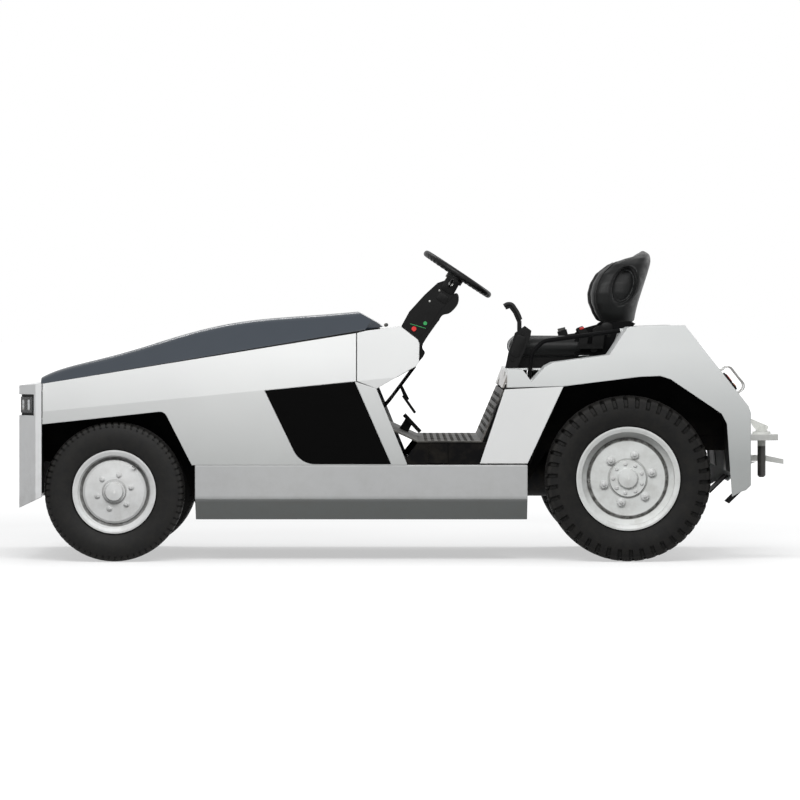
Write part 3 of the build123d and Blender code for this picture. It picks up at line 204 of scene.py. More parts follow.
@dataclass(frozen=True)
class SprayedEnamel(Finish):
    """Two-pack enamel sprayed on primed steel sheet: an orange-peel skin, soft rolled edges, road dust, and
    painted shade that darkens it below a height.
    """

    gloss: float = 0.25
    peel_mm: float = 5.0
    dust: float = 0.18
    dust_top: float = 0.55
    # The film fields paint shade: its strength at the bottom, the two heights over which it fades out, and
    # its colour.
    film: float = 0.0
    painted_shade_low: float = 0.35
    painted_shade_top: float = 1.0
    edge_mm: float = 5.0
    painted_shade_code: str = "6c716f"
    coat_ior: float = 1.5
    coat_rough: float = 0.12

    def build(self) -> bpy.types.Material:
        """Colour with slow mottle, dust low down and painted shade below a height, peel bump over rounded
        edges, and a clear coat.
        """
        made, tree, shader, where = self.start()
        height = add_node(tree, "ShaderNodeSeparateXYZ", {"Vector": where}).outputs["Z"]
        low = ramp(tree, height, 0.12, self.dust_top, 1.0, 0.0)
        specks = ramp(tree, noise(tree, where, 60, 6, 0.65), 0.42, 0.72)
        dusty = product(tree, product(tree, low, specks), self.dust)
        mottle = ramp(tree, noise(tree, where, 420, 3), 0.3, 0.7)
        base = np.array(linear(self.colour))
        shade = blend_colour(tree, mottle, tuple(base * [0.955, 0.955, 0.96, 1]), tuple(base))
        # Painted shade: the colour is mixed towards a grey below a height, darker towards the bottom.
        painted_low_shade = ramp(tree, height, self.painted_shade_low, self.painted_shade_top, self.film, 0.0)
        shade = blend_colour(tree, painted_low_shade, shade, linear(self.painted_shade_code))
        tree.links.new(blend_colour(tree, dusty, shade, linear("6f675a")), shader.inputs["Base Color"])
        uneven = noise(tree, where, 90, 4)
        streak = ramp(tree, uneven, 0.3, 0.75, self.roughness * 0.92, self.roughness * 1.15)
        tree.links.new(streak, shader.inputs["Roughness"])
        rolled = add_node(tree, "ShaderNodeBevel", {"Radius": self.edge_mm / 1000}, samples=4)
        skin = noise(tree, where, self.peel_mm, 1)
        peel = add_node(tree, "ShaderNodeBump", {"Height": skin, "Strength": 0.12, "Distance": 0.0004,
                                                 "Normal": rolled.outputs[0]})
        tree.links.new(peel.outputs[0], shader.inputs["Normal"])
        shader.inputs["Coat Weight"].default_value = self.gloss
        shader.inputs["Coat Roughness"].default_value = self.coat_rough
        shader.inputs["Coat IOR"].default_value = self.coat_ior
        return made


def reopen(made: bpy.types.Material) -> tuple[bpy.types.NodeTree, bpy.types.Node, bpy.types.NodeSocket,
                                              bpy.types.NodeSocket]:
    """The tree, shader, Object coordinates and colour socket of a finish that its parent class built."""
    tree = made.node_tree
    shader = next(n for n in tree.nodes if n.type == "BSDF_PRINCIPLED")
    where = add_node(tree, "ShaderNodeTexCoord").outputs["Object"]
    return tree, shader, where, shader.inputs["Base Color"].links[0].from_socket


@dataclass(frozen=True)
class FrontShadedEnamel(SprayedEnamel):
    """Enamel on a panel whose front face is given painted shade: a warm grey that noise makes stronger or
    weaker.
    """

    painted_shade_before: float = 0.0

    def build(self) -> bpy.types.Material:
        """The enamel, with painted shade where Object X is below the station."""
        made = super().build()
        tree, shader, where, colour = reopen(made)
        along = add_node(tree, "ShaderNodeSeparateXYZ", {"Vector": where}).outputs["X"]
        near = ramp(tree, along, self.painted_shade_before - 0.003, self.painted_shade_before, 1.0, 0.0)
        # Painted shade on the front face, its strength broken up by noise.
        rubbed = product(tree, near, ramp(tree, noise(tree, where, 30, 5, 0.6), 0.2, 0.55, 0.6, 1.0))
        tree.links.new(blend_colour(tree, rubbed, colour, linear("8b8680")), shader.inputs["Base Color"])
        return made


@dataclass(frozen=True)
class WheelEnamel(SprayedEnamel):
    """Silver enamel on a pressed wheel, with painted shade darkening the well and the ring round the hub."""

    centre: tuple[float, float] = (0.0, 0.0)
    painted_shade_bands: tuple[tuple[float, float, float], ...] = ()

    def build(self) -> bpy.types.Material:
        """The enamel with painted shade in rings: each band is a middle radius, a half width and a strength.
        """
        made = super().build()
        tree, shader, where, colour = reopen(made)
        moved = add_node(tree, "ShaderNodeMapping", {"Vector": where, "Location": (-self.centre[0], 0,
                                                                                   -self.centre[1]),
                                                     "Scale": (1, 0, 1)})
        away = length(tree, moved.outputs[0])
        patchy = ramp(tree, noise(tree, where, 22, 5, 0.6), 0.25, 0.6, 0.65, 1.0)
        for middle, half, strength in self.painted_shade_bands:
            rise = ramp(tree, away, middle - half, middle - half * 0.6)
            fall = ramp(tree, away, middle + half * 0.6, middle + half, 1.0, 0.0)
            # Painted shade: each ring is darkened towards a dark brown-grey.
            painted_well_shade = product(tree, product(tree, product(tree, rise, fall), patchy), strength)
            colour = blend_colour(tree, painted_well_shade, colour, linear("35332f"))
        tree.links.new(colour, shader.inputs["Base Color"])
        return made


@dataclass(frozen=True)
class MouldedPlastic(Finish):
    """Injection-moulded polypropylene: a fine spark-eroded grain that scatters the light."""

    grain_mm: float = 1.6
    depth_mm: float = 0.12

    def build(self) -> bpy.types.Material:
        """Cell grain drawn a little coarse to show, with scuffed, paler patches."""
        made, tree, shader, where = self.start()
        cells = add_node(tree, "ShaderNodeTexVoronoi", {"Vector": where, "Scale": 1000 / self.grain_mm},
                         feature="SMOOTH_F1")
        grain = add_node(tree, "ShaderNodeBump", {"Height": cells.outputs["Distance"], "Strength": 0.35,
                                                  "Distance": self.depth_mm / 1000})
        tree.links.new(grain.outputs[0], shader.inputs["Normal"])
        scuff = ramp(tree, noise(tree, where, 70, 5, 0.6), 0.45, 0.8)
        base = np.array(linear(self.colour))
        pale = tuple(np.minimum(base * 1.5 + [0.004, 0.004, 0.004, 0], 1))
        tree.links.new(blend_colour(tree, product(tree, scuff, 0.5), tuple(base), pale),
                       shader.inputs["Base Color"])
        tree.links.new(ramp(tree, scuff, 0, 1, self.roughness, self.roughness + 0.1),
                       shader.inputs["Roughness"])
        return made


@dataclass(frozen=True)
class TwoColourPlastic(MouldedPlastic):
    """Moulded nylon caps of two colours on one node: the colour changes at a station along the vehicle."""

    other: str = "1f8a45"
    split_x: float = 0.0

    def build(self) -> bpy.types.Material:
        """The grained plastic with its colour picked by Object X."""
        made = super().build()
        tree, shader, where, first = reopen(made)
        along = add_node(tree, "ShaderNodeSeparateXYZ", {"Vector": where}).outputs["X"]
        past = ramp(tree, along, self.split_x - 0.001, self.split_x + 0.001)
        tree.links.new(blend_colour(tree, past, first, linear(self.other)), shader.inputs["Base Color"])
        return made


@dataclass(frozen=True)
class GrainedVinyl(Finish):
    """Embossed vinyl over moulded foam: pebbled leather grain, slow wrinkles and a faint oily sheen."""

    pebble_mm: float = 2.4

    def build(self) -> bpy.types.Material:
        """Pebbles of two sizes in the bump, rubbed paler on the pebbles' tops."""
        made, tree, shader, where = self.start()
        pebble = add_node(tree, "ShaderNodeTexVoronoi", {"Vector": where, "Scale": 1000 / self.pebble_mm},
                          feature="DISTANCE_TO_EDGE").outputs["Distance"]
        tops = ramp(tree, pebble, 0.02, 0.22)
        fine = add_node(tree, "ShaderNodeBump", {"Height": tops, "Strength": 0.35, "Distance": 0.00025})
        slow = add_node(tree, "ShaderNodeBump", {"Height": noise(tree, where, 45, 3), "Strength": 0.3,
                                                 "Distance": 0.002, "Normal": fine.outputs[0]})
        tree.links.new(slow.outputs[0], shader.inputs["Normal"])
        base = np.array(linear(self.colour))
        worn = ramp(tree, noise(tree, where, 120, 4), 0.4, 0.75)
        pale = tuple(np.minimum(base * 1.7 + [0.003, 0.003, 0.003, 0], 1))
        tree.links.new(blend_colour(tree, product(tree, worn, product(tree, tops, 0.55)), tuple(base), pale),
                       shader.inputs["Base Color"])
        tree.links.new(ramp(tree, tops, 0, 1, self.roughness + 0.12, self.roughness),
                       shader.inputs["Roughness"])
        shader.inputs["Sheen Weight"].default_value = 0.08
        shader.inputs["Coat Weight"].default_value = 0.03
        shader.inputs["Coat Roughness"].default_value = 0.35
        return made


@dataclass(frozen=True)
class CuredRubber(Finish):
    """Carbon-black rubber cured in a mould: turned rings on the sidewall, dust in the cuts, worn treads."""

    centre: tuple[float, float] = (0.0, 0.0)
    rings: bool = False
    ring_mm: float = 5.0

    def build(self) -> bpy.types.Material:
        """Turned rings round the axle in the bump, tread tops made paler by the wear attribute, and dust by
        noise.
        """
        made, tree, shader, where = self.start()
        base = linear(self.colour)
        fine = noise(tree, where, 3.0, 3)
        bump = add_node(tree, "ShaderNodeBump", {"Height": fine, "Strength": 0.2, "Distance": 0.0004})
        if self.rings:
            moved = add_node(tree, "ShaderNodeMapping", {"Vector": where, "Location": (-self.centre[0], 0,
                                                                                       -self.centre[1])})
            apart = add_node(tree, "ShaderNodeSeparateXYZ", {"Vector": moved.outputs[0]})
            flat = add_node(tree, "ShaderNodeCombineXYZ", {"X": apart.outputs["X"], "Z": apart.outputs["Z"]})
            away = length(tree, flat.outputs[0])
            turns = product(tree, away, 2000 * math.pi / self.ring_mm)
            wave = add_node(tree, "ShaderNodeMath", {0: turns}, operation="SINE").outputs[0]
            bump = add_node(tree, "ShaderNodeBump", {"Height": wave, "Strength": 0.22, "Distance": 0.0006,
                                                     "Normal": bump.outputs[0]})
            worn = add_node(tree, "ShaderNodeAttribute", attribute_name="wear").outputs["Fac"]
            dust = product(tree, ramp(tree, noise(tree, where, 35, 5, 0.6), 0.35, 0.75), 0.3)
            top = blend_colour(tree, product(tree, worn, 0.5), base, linear("262524"))
            tree.links.new(blend_colour(tree, dust, top, linear("2c2a26")), shader.inputs["Base Color"])
        else:
            dust = product(tree, ramp(tree, noise(tree, where, 50, 5, 0.6), 0.4, 0.8), 0.35)
            tree.links.new(blend_colour(tree, dust, base, linear("2b2926")), shader.inputs["Base Color"])
        tree.links.new(bump.outputs[0], shader.inputs["Normal"])
        tree.links.new(ramp(tree, fine, 0.3, 0.7, self.roughness - 0.08, self.roughness + 0.06),
                       shader.inputs["Roughness"])
        return made


@dataclass(frozen=True)
class TurnedSteel(Finish):
    """Bare machined steel: fine tool marks, grey oxide patches and a dull metal gleam."""

    mark_mm: float = 1.2

    def build(self) -> bpy.types.Material:
        """Tool marks stretched along Y, with oxide that is rougher and darker."""
        made, tree, shader, where = self.start()
        marks = add_node(tree, "ShaderNodeMapping", {"Vector": where, "Scale": (1.0, 0.06, 1.0)})
        lines = noise(tree, marks.outputs[0], self.mark_mm, 2)
        bump = add_node(tree, "ShaderNodeBump", {"Height": lines, "Strength": 0.12, "Distance": 0.0003})
        tree.links.new(bump.outputs[0], shader.inputs["Normal"])
        oxide = ramp(tree, noise(tree, where, 18, 5, 0.65), 0.42, 0.68)
        tree.links.new(blend_colour(tree, oxide, linear(self.colour), linear("5b5852")),
                       shader.inputs["Base Color"])
        tree.links.new(ramp(tree, oxide, 0, 1, self.roughness, self.roughness + 0.22),
                       shader.inputs["Roughness"])
        shader.inputs["Metallic"].default_value = 0.85
        return made


@dataclass(frozen=True)
class SandCast(Finish):
    """Iron cast in sand and painted thinly: a pitted skin with dust lying in it."""

    def build(self) -> bpy.types.Material:
        """Sand-grain bump 2 mm across, with dry dust on the high spots."""
        made, tree, shader, where = self.start()
        pits = noise(tree, where, 2.2, 4, 0.7)
        bump = add_node(tree, "ShaderNodeBump", {"Height": pits, "Strength": 0.5, "Distance": 0.0007})
        tree.links.new(bump.outputs[0], shader.inputs["Normal"])
        dust = product(tree, ramp(tree, noise(tree, where, 45, 5, 0.6), 0.4, 0.75), 0.55)
        tree.links.new(blend_colour(tree, dust, linear(self.colour), linear("47413a")),
                       shader.inputs["Base Color"])
        tree.links.new(ramp(tree, pits, 0.3, 0.7, self.roughness - 0.1, self.roughness + 0.1),
                       shader.inputs["Roughness"])
        shader.inputs["Metallic"].default_value = 0.2
        return made


@dataclass(frozen=True)
class RolledTread(Finish):
    """Rolled steel tread plate, painted dark: lozenges rubbed to a dull grey, grit between them."""

    def build(self) -> bpy.types.Material:
        """Grit between the lozenges by noise, and a rubbed sheen where feet go."""
        made, tree, shader, where = self.start()
        grit = noise(tree, where, 3.5, 5, 0.7)
        bump = add_node(tree, "ShaderNodeBump", {"Height": grit, "Strength": 0.3, "Distance": 0.0006})
        tree.links.new(bump.outputs[0], shader.inputs["Normal"])
        rubbed = ramp(tree, noise(tree, where, 160, 4, 0.6), 0.38, 0.66)
        tree.links.new(blend_colour(tree, rubbed, linear(self.colour), linear("55534f")),
                       shader.inputs["Base Color"])
        tree.links.new(ramp(tree, grit, 0.25, 0.75, self.roughness - 0.12, self.roughness + 0.12),
                       shader.inputs["Roughness"])
        shader.inputs["Metallic"].default_value = 0.35
        return made


@dataclass(frozen=True)
class MouldedLens(Finish):
    """Moulded acrylic lens: clear or tinted, with prisms pressed into its inside."""

    prism_mm: float = 6.0
    clear: float = 0.9

    def build(self) -> bpy.types.Material:
        """Square prisms as two crossed waves in the bump."""
        made, tree, shader, where = self.start()
        pitch = 2000 * math.pi / self.prism_mm
        parts = add_node(tree, "ShaderNodeSeparateXYZ", {"Vector": where})
        waves = [add_node(tree, "ShaderNodeMath", {0: product(tree, parts.outputs[axis], pitch)},
                          operation="SINE").outputs[0] for axis in ("Y", "Z")]
        grid = product(tree, waves[0], waves[1])
        bump = add_node(tree, "ShaderNodeBump", {"Height": grid, "Strength": 0.35, "Distance": 0.001})
        tree.links.new(bump.outputs[0], shader.inputs["Normal"])
        tree.links.new(ramp(tree, noise(tree, where, 30, 3), 0.3, 0.8, self.roughness, self.roughness + 0.08),
                       shader.inputs["Roughness"])
        shader.inputs["IOR"].default_value = 1.49
        shader.inputs["Transmission Weight"].default_value = self.clear
        return made


@dataclass(frozen=True)
class CastFilm(Finish):
    """Cast vinyl film on a flush panel: matt, near black, with a faint stretch texture."""

    def build(self) -> bpy.types.Material:
        """Almost flat bump, a soft coat and faint wiping marks."""
        made, tree, shader, where = self.start()
        wipe = add_node(tree, "ShaderNodeMapping", {"Vector": where, "Scale": (0.25, 1, 1),
                                                    "Rotation": (0, 0.5, 0)})
        marks = noise(tree, wipe.outputs[0], 16, 4, 0.6)
        tree.links.new(ramp(tree, marks, 0.35, 0.7, self.roughness, self.roughness + 0.12),
                       shader.inputs["Roughness"])
        bump = add_node(tree, "ShaderNodeBump", {"Height": noise(tree, where, 9, 1), "Strength": 0.05,
                                                 "Distance": 0.0003})
        tree.links.new(bump.outputs[0], shader.inputs["Normal"])
        return made


@dataclass(frozen=True)
class WovenWeb(Finish):
    """Polyester belt webbing, whose twill ribs of about 1.5 mm are drawn 3.1 mm apart so that they show."""

    def build(self) -> bpy.types.Material:
        """Slanted ribs from the piece's UV map, whose unit is a metre: a wave of 2 pi / (20 * scale)."""
        made, tree, shader, _ = self.start()
        uv = add_node(tree, "ShaderNodeTexCoord").outputs["UV"]
        slant = add_node(tree, "ShaderNodeMapping", {"Vector": uv, "Rotation": (0, 0, 0.35)})
        rib = add_node(tree, "ShaderNodeTexWave", {"Vector": slant.outputs[0], "Scale": 100.0})
        bump = add_node(tree, "ShaderNodeBump", {"Height": rib.outputs["Fac"], "Strength": 0.5,
                                                 "Distance": 0.0006})
        tree.links.new(bump.outputs[0], shader.inputs["Normal"])
        base = np.array(linear(self.colour))
        tree.links.new(blend_colour(tree, rib.outputs["Fac"], tuple(base * [0.6, 0.6, 0.6, 1]), tuple(base)),
                       shader.inputs["Base Color"])
        shader.inputs["Sheen Weight"].default_value = 0.2
        return made


# Body and fender whites carry painted shade that darkens them towards the bottom.
BODY_WHITE = SprayedEnamel("enamel sprayed pale grey-white", "dcdddc", 0.33, gloss=0.35, film=0.50,
                           painted_shade_low=0.38, painted_shade_top=0.93)
COWL_WHITE = SprayedEnamel("enamel sprayed cowl white", "d3d4d3", 0.33, gloss=0.35)
SEAT_BOX_WHITE = SprayedEnamel("enamel sprayed seat box white", "dfe0df", 0.36, gloss=0.3)
# The fender white also has painted shade on its front face, before X 0.449.
FENDER_WHITE = FrontShadedEnamel("enamel sprayed fender white", "dcdedd", 0.33, gloss=0.35, film=0.58,
                             painted_shade_low=0.45, painted_shade_top=0.95, painted_shade_before=0.449)
BUMPER_GREY = SprayedEnamel("enamel sprayed light grey", "dfe0e0", 0.36, gloss=0.3, dust=0.25, dust_top=0.7)
# The sill grey is painted nearly to the shade colour below 0.27 m: painted shade on its downward facet.
SILL_GREY = SprayedEnamel("enamel sprayed mid grey", "b6b7b7", 0.38, gloss=0.25, dust=0.2, film=0.88,
                          painted_shade_low=0.27, painted_shade_top=0.30, edge_mm=9.0)
WHEEL_SILVER = SprayedEnamel("enamel sprayed wheel silver", "d2d3d2", 0.4, gloss=0.1, dust=0.3, dust_top=1.4,
                             edge_mm=2.0)
FRONT_SILVER = WheelEnamel("enamel sprayed front wheel", "dadbda", 0.4, gloss=0.15, dust=0.25, dust_top=1.4,
                           edge_mm=2.0, centre=FRONT_AXLE, painted_shade_bands=((0.151, 0.009, 0.85), (0.052, 0.006, 0.35)))
REAR_SILVER = WheelEnamel("enamel sprayed rear wheel", "d8dad8", 0.42, gloss=0.12, dust=0.3, dust_top=1.4,
                          edge_mm=2.0, centre=REAR_AXLE, painted_shade_bands=((0.177, 0.0105, 0.97), (0.087, 0.005, 0.45)))
BONNET_BLUE = SprayedEnamel("enamel sprayed dark slate", "0d1e2c", 0.3, 0.3, gloss=1.0, dust=0.0,
                            coat_rough=0.2)
CHASSIS_BLACK = SprayedEnamel("enamel brushed satin black", "080809", 0.55, 0.05, gloss=0.0, dust=0.12,
                              dust_top=1.0)
BATTERY_CASE = SprayedEnamel("enamel sprayed battery steel", "2b2e30", 0.5, 0.3, gloss=0.0, dust=0.2,
                             dust_top=1.0)
HITCH_GREY = SprayedEnamel("enamel chipped hitch grey", "e6e7e3", 0.45, gloss=0.1, dust=0.25,
                           dust_top=1.0, edge_mm=2.5)
TRIM_PLASTIC = MouldedPlastic("polypropylene moulded black", "090909", 0.42, 0.12)
GRIP_PLASTIC = MouldedPlastic("polyurethane moulded grip", "0c0c0c", 0.4, 0.2, grain_mm=2.0, depth_mm=0.2)
SEAT_VINYL = GrainedVinyl("vinyl embossed black", "0b0c0c", 0.36, 0.16)
PIPING = GrainedVinyl("vinyl piping black", "080808", 0.45, 0.25, pebble_mm=1.4)
MAT_RUBBER = CuredRubber("rubber matting ribbed", "0b0b0b", 0.7, 0.12)
FLAP_RUBBER = CuredRubber("rubber sheet flap", "0c0c0c", 0.65, 0.12)
TREAD_PLATE = RolledTread("steel tread plate rolled", "1c1c1c", 0.5, 0.15)
BARE_STEEL = TurnedSteel("steel turned bare", "8d8d8a", 0.35)
BRIGHT_STEEL = TurnedSteel("steel zinc plated", "a9aaa8", 0.3)
# The pin's enamel turns dark below 0.5 m: a painted shadow under its handle.
PIN_PAINT = SprayedEnamel("enamel with painted shadow below the handle", "e2e3de", 0.42, gloss=0.1, film=1.0,
                          painted_shade_low=0.500, painted_shade_top=0.506, painted_shade_code="2c2a28", edge_mm=2.0)
BLUED_STEEL = TurnedSteel("steel blued", "3b3c3d", 0.4)
GUARD_STEEL = TurnedSteel("steel wire plated", "b4b5b4", 0.28)
CAST_IRON = SandCast("iron sand cast dark", "17181a", 0.62, 0.2)
CLEAR_LENS = MouldedLens("acrylic moulded clear lens", "4a4d4f", 0.08, clear=0.85)
RED_LENS = MouldedLens("acrylic moulded red lens", "a5140f", 0.12, prism_mm=7.0, clear=0.25)
AMBER_LENS = MouldedLens("acrylic moulded amber lens", "c26a10", 0.12, prism_mm=7.0, clear=0.25)
INSET_FILM = CastFilm("vinyl film cast black", "030303", 0.4, 0.03)
REFLECTOR = TurnedSteel("aluminium vapour coated reflector", "a9abad", 0.3)
GREEN_STRIP = MouldedPlastic("nylon moulded green strip", "17793c", 0.35)
SCUFFED_RED = MouldedPlastic("nylon moulded latch button", "a81812", 0.35)
SWITCH_CAPS = TwoColourPlastic("nylon moulded switch caps", "c8201c", 0.35, other="1c9048", split_x=0.058)
BELT_WEB = WovenWeb("polyester webbing woven", "141516", 0.75, 0.2)


# Mesh tools


def smooth_step(value: Array, low: float, high: float) -> Array:
    """The cubic step 3t^2 - 2t^3, with t running from 0 at low to 1 at high."""
    t = np.clip((value - low) / (high - low), 0, 1)
    return t * t * (3 - 2 * t)


def signed_power(value: Array, power: float) -> Array:
    """The size of each number raised to a power, with its sign kept."""
    return np.sign(value) * np.abs(value) ** power


def grid_faces(rows: int, columns: int, round_rows: bool, round_columns: bool) -> NDArray[np.int64]:
    """Quads of a grid of rows by columns, counted row by row.

    Args:
        rows: how many rows of points.
        columns: how many points in a row.
        round_rows: the last row joins the first.
        round_columns: each row's last point joins its first.

    Returns:
        Four point numbers for each face.
    """
    r = np.arange(rows if round_rows else rows - 1)[:, None]
    c = np.arange(columns if round_columns else columns - 1)[None, :]
    r2, c2 = (r + 1) % rows, (c + 1) % columns
    corners = [r * columns + c, r * columns + c2, r2 * columns + c2, r2 * columns + c]
    return np.stack([np.broadcast_to(k, (r.size, c.size)) for k in corners], -1).reshape(-1, 4)


def tube_faces(rows: int, columns: int) -> list[list[int]]:
    """Quads of a grid whose rows are closed rings, and a cap over its first and its last row."""
    faces = grid_faces(rows, columns, False, True).tolist()
    return faces + [list(range(columns))[::-1], [(rows - 1) * columns + k for k in range(columns)]]


def volume_of(points: Array, faces: list[list[int]]) -> float:
    """Six times the volume inside the faces, each cut into a fan of triangles from its first corner."""
    total = 0.0
    for size in {len(f) for f in faces}:
        f = np.array([k for k in faces if len(k) == size])
        for i in range(1, size - 1):
            a, b, c = points[f[:, 0]], points[f[:, i]], points[f[:, i + 1]]
            total += float(np.einsum("ij,ij->", a, np.cross(b, c)))
    return total


def make_piece(name: str, points: Array, faces: NDArray[np.int64] | list[list[int]],
               finish: Finish | None = None, sharp: float = 35.0) -> bpy.types.Object:
    """Puts points and faces into a new object at the origin, facing outwards and shaded smooth.

    Args:
        name: the piece's name.
        points: places in metres.
        faces: point numbers of each face, of a closed shell.
        finish: its finish.
        sharp: edges bent by more than this many degrees stay sharp.

    Returns:
        The new object.
    """
    flat = np.asarray(points, float).reshape(-1, 3)
    listed = [list(map(int, f)) for f in faces]
    if volume_of(flat - flat.mean(0), listed) < 0:
        listed = [f[::-1] for f in listed]
    mesh = bpy.data.meshes.new(name)
    mesh.from_pydata(flat.tolist(), [], listed)
    mesh.update()
    mesh.shade_smooth()
    mesh.set_sharp_from_angle(angle=math.radians(sharp))
    made = bpy.data.objects.new(name, mesh)
    bpy.context.scene.collection.objects.link(made)
    if finish:
        mesh.materials.append(finish.material())
    return made


def place(made: bpy.types.Object, body: str) -> bpy.types.Object:
    """Lets a piece ride on a body and reports it."""
    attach(made, body)
    LOG.info("%s rides on %s, %d faces", made.name, body, len(made.data.polygons))
    return made


def merge(parts: list[tuple[Array, Any]]) -> tuple[Array, list[list[int]]]:
    """Joins several point and face sets into one, with the point numbers moved on.

    Args:
        parts: points and faces of each set.

    Returns:
        Points and faces of them all.
    """
    points, faces, count = [], [], 0
    for own, quads in parts:
        own = np.asarray(own, float).reshape(-1, 3)
        points.append(own)
        faces += [[int(k) + count for k in f] for f in quads]
        count += len(own)
    return np.concatenate(points), faces


def assemble(name: str, parts: list[tuple[Array, Any]], finish: Finish,
             body: str = "chassis") -> bpy.types.Object:
    """Joins parts into one new piece that rides on a body.

    Args:
        name: the piece's name.
        parts: points and faces of each part.
        finish: its finish.
        body: the body it rides on.

    Returns:
        The piece.
    """
    points, faces = merge(parts)
    return place(make_piece(name, points, faces, finish), body)


def swept(path: Array, section: Array, up: tuple[float, float, float] = (0.0, 0.0, 1.0)
          ) -> tuple[Array, list[list[int]]]:
    """Carries a flat closed section along a path, with its ends closed.

    At each point of the path the section's x lies across the path, square to up, and its y completes
    the frame.

    Args:
        path: points of the path, n by 3.
        section: points of the section, m by 2.
        up: a direction that the path never runs along.

    Returns:
        Points and faces.
    """
    heading = np.gradient(path, axis=0)
    heading /= np.linalg.norm(heading, axis=1, keepdims=True)
    across = np.cross(heading, np.array(up))
    across /= np.linalg.norm(across, axis=1, keepdims=True)
    over = np.cross(across, heading)
    points = (path[:, None] + across[:, None] * section[None, :, :1] + over[:, None] * section[None, :, 1:])
    return points.reshape(-1, 3), tube_faces(len(path), len(section))


def circle(radius: float, count: int) -> Array:
    """Points of a circle in its plane."""
    turn = np.linspace(0, 2 * math.pi, count, endpoint=False)
    return radius * np.stack([np.cos(turn), np.sin(turn)], 1)


def curve_through(points: Array, count: int) -> Array:
    """A smooth line through points: Catmull-Rom cubics, sampled evenly by parameter.

    Args:
        points: the points it passes, n by k.
        count: how many samples.

    Returns:
        Samples, count by k.
    """
    p = np.concatenate([[2 * points[0] - points[1]], points, [2 * points[-1] - points[-2]]])
    s = np.linspace(0, len(points) - 1, count)
    i = np.minimum(s.astype(int), len(points) - 2)
    t = (s - i)[:, None]
    a, b, c, d = p[i], p[i + 1], p[i + 2], p[i + 3]
    bend = (2 * a - 5 * b + 4 * c - d) * t ** 2
    return 0.5 * (2 * b + (c - a) * t + bend + (3 * b - a - 3 * c + d) * t ** 3)


def turned(profile: Array, centre: Array, axis: Array, count: int = 32) -> tuple[Array, list[list[int]]]:
    """Turns a profile of (radius, height) about an axis through a centre, closed at both ends by its caps.

    A point is centre + height * axis + radius * (cos a * u + sin a * v), with u and v square to the axis.

    Args:
        profile: radius and height, from the foot to the top, with radii above 0.
        centre: the axis' foot.
        axis: the axis' direction.
        count: points round.

    Returns:
        Points and faces.
    """
    axis = np.asarray(axis, float) / np.linalg.norm(axis)
    spare = np.array([1.0, 0, 0]) if abs(axis[0]) < 0.8 else np.array([0, 1.0, 0])
    u = np.cross(axis, spare)
    u /= np.linalg.norm(u)
    v = np.cross(axis, u)
    a = np.linspace(0, 2 * math.pi, count, endpoint=False)
    ring = np.cos(a)[:, None] * u + np.sin(a)[:, None] * v
    points = (np.asarray(centre, float) + profile[:, 1, None, None] * axis
              + profile[:, 0, None, None] * ring[None])
    return points.reshape(-1, 3), tube_faces(len(profile), count)


def hex_bolts(centres: list[Array], axes: list[Array], across: float, height: float,
              washer: float = 0.0) -> tuple[Array, list[list[int]]]:
    """Hexagon bolt heads with a chamfered top, each on a round washer if one is asked for.

    Args:
        centres: where each head's foot stands.
        axes: the direction each head stands out in.
        across: the head's radius over its corners.
        height: the head's height.
        washer: the washer's radius, or 0 for none.

    Returns:
        Points and faces of them all.
    """
    head = np.array([[across, -0.001], [across, height * 0.8], [across * 0.86, height]])
    disc = np.array([[washer, -0.001], [washer, height * 0.18], [washer * 0.95, height * 0.26]])
    parts = []
    for centre, axis in zip(centres, axes):
        parts.append(turned(head, centre, axis, 6))
        if washer:
            parts.append(turned(disc, centre, axis, 20))
    return merge(parts)


def dome_heads(centres: list[Array], axes: list[Array], radius: float,
               height: float) -> tuple[Array, list[list[int]]]:
    """Round-topped heads: the height falls off with the root of 1 - r^2 towards the rim.

    Args:
        centres: where each head's foot stands.
        axes: the direction each head stands out in.
        radius: the heads' radius.
        height: the heads' height.

    Returns:
        Points and faces of them all.
    """
    turn = np.linspace(0, math.pi / 2 * 0.92, 6)
    dome = np.stack([radius * np.cos(turn), height * np.sin(turn)], 1)
    dome = np.concatenate([[[radius, -0.001]], dome])
    return merge([turned(dome, c, a, 14) for c, a in zip(centres, axes)])


def slab(outline: Array, low: float, high: float, rim: float) -> tuple[Array, list[list[int]]]:
    """A flat plate of an XZ outline between two Y values, with eased rims.

    The outer row of each face is middle + (point - middle) * (1 - rim / distance from the middle).

    Args:
        outline: X and Z of its corners, in order.
        low: the lower Y.
        high: the higher Y.
        rim: how far each rim is eased.

    Returns:
        Points and faces.
    """
    middle = outline.mean(0)
    away = np.linalg.norm(outline - middle, axis=1, keepdims=True)
    inner = middle + (outline - middle) * (1 - rim / away)
    count = len(outline)
    rows = [np.c_[k[:, 0], np.full(count, y), k[:, 1]]
            for k, y in ((inner, low), (outline, low + rim), (outline, high - rim), (inner, high))]
    return np.concatenate(rows), tube_faces(4, count)


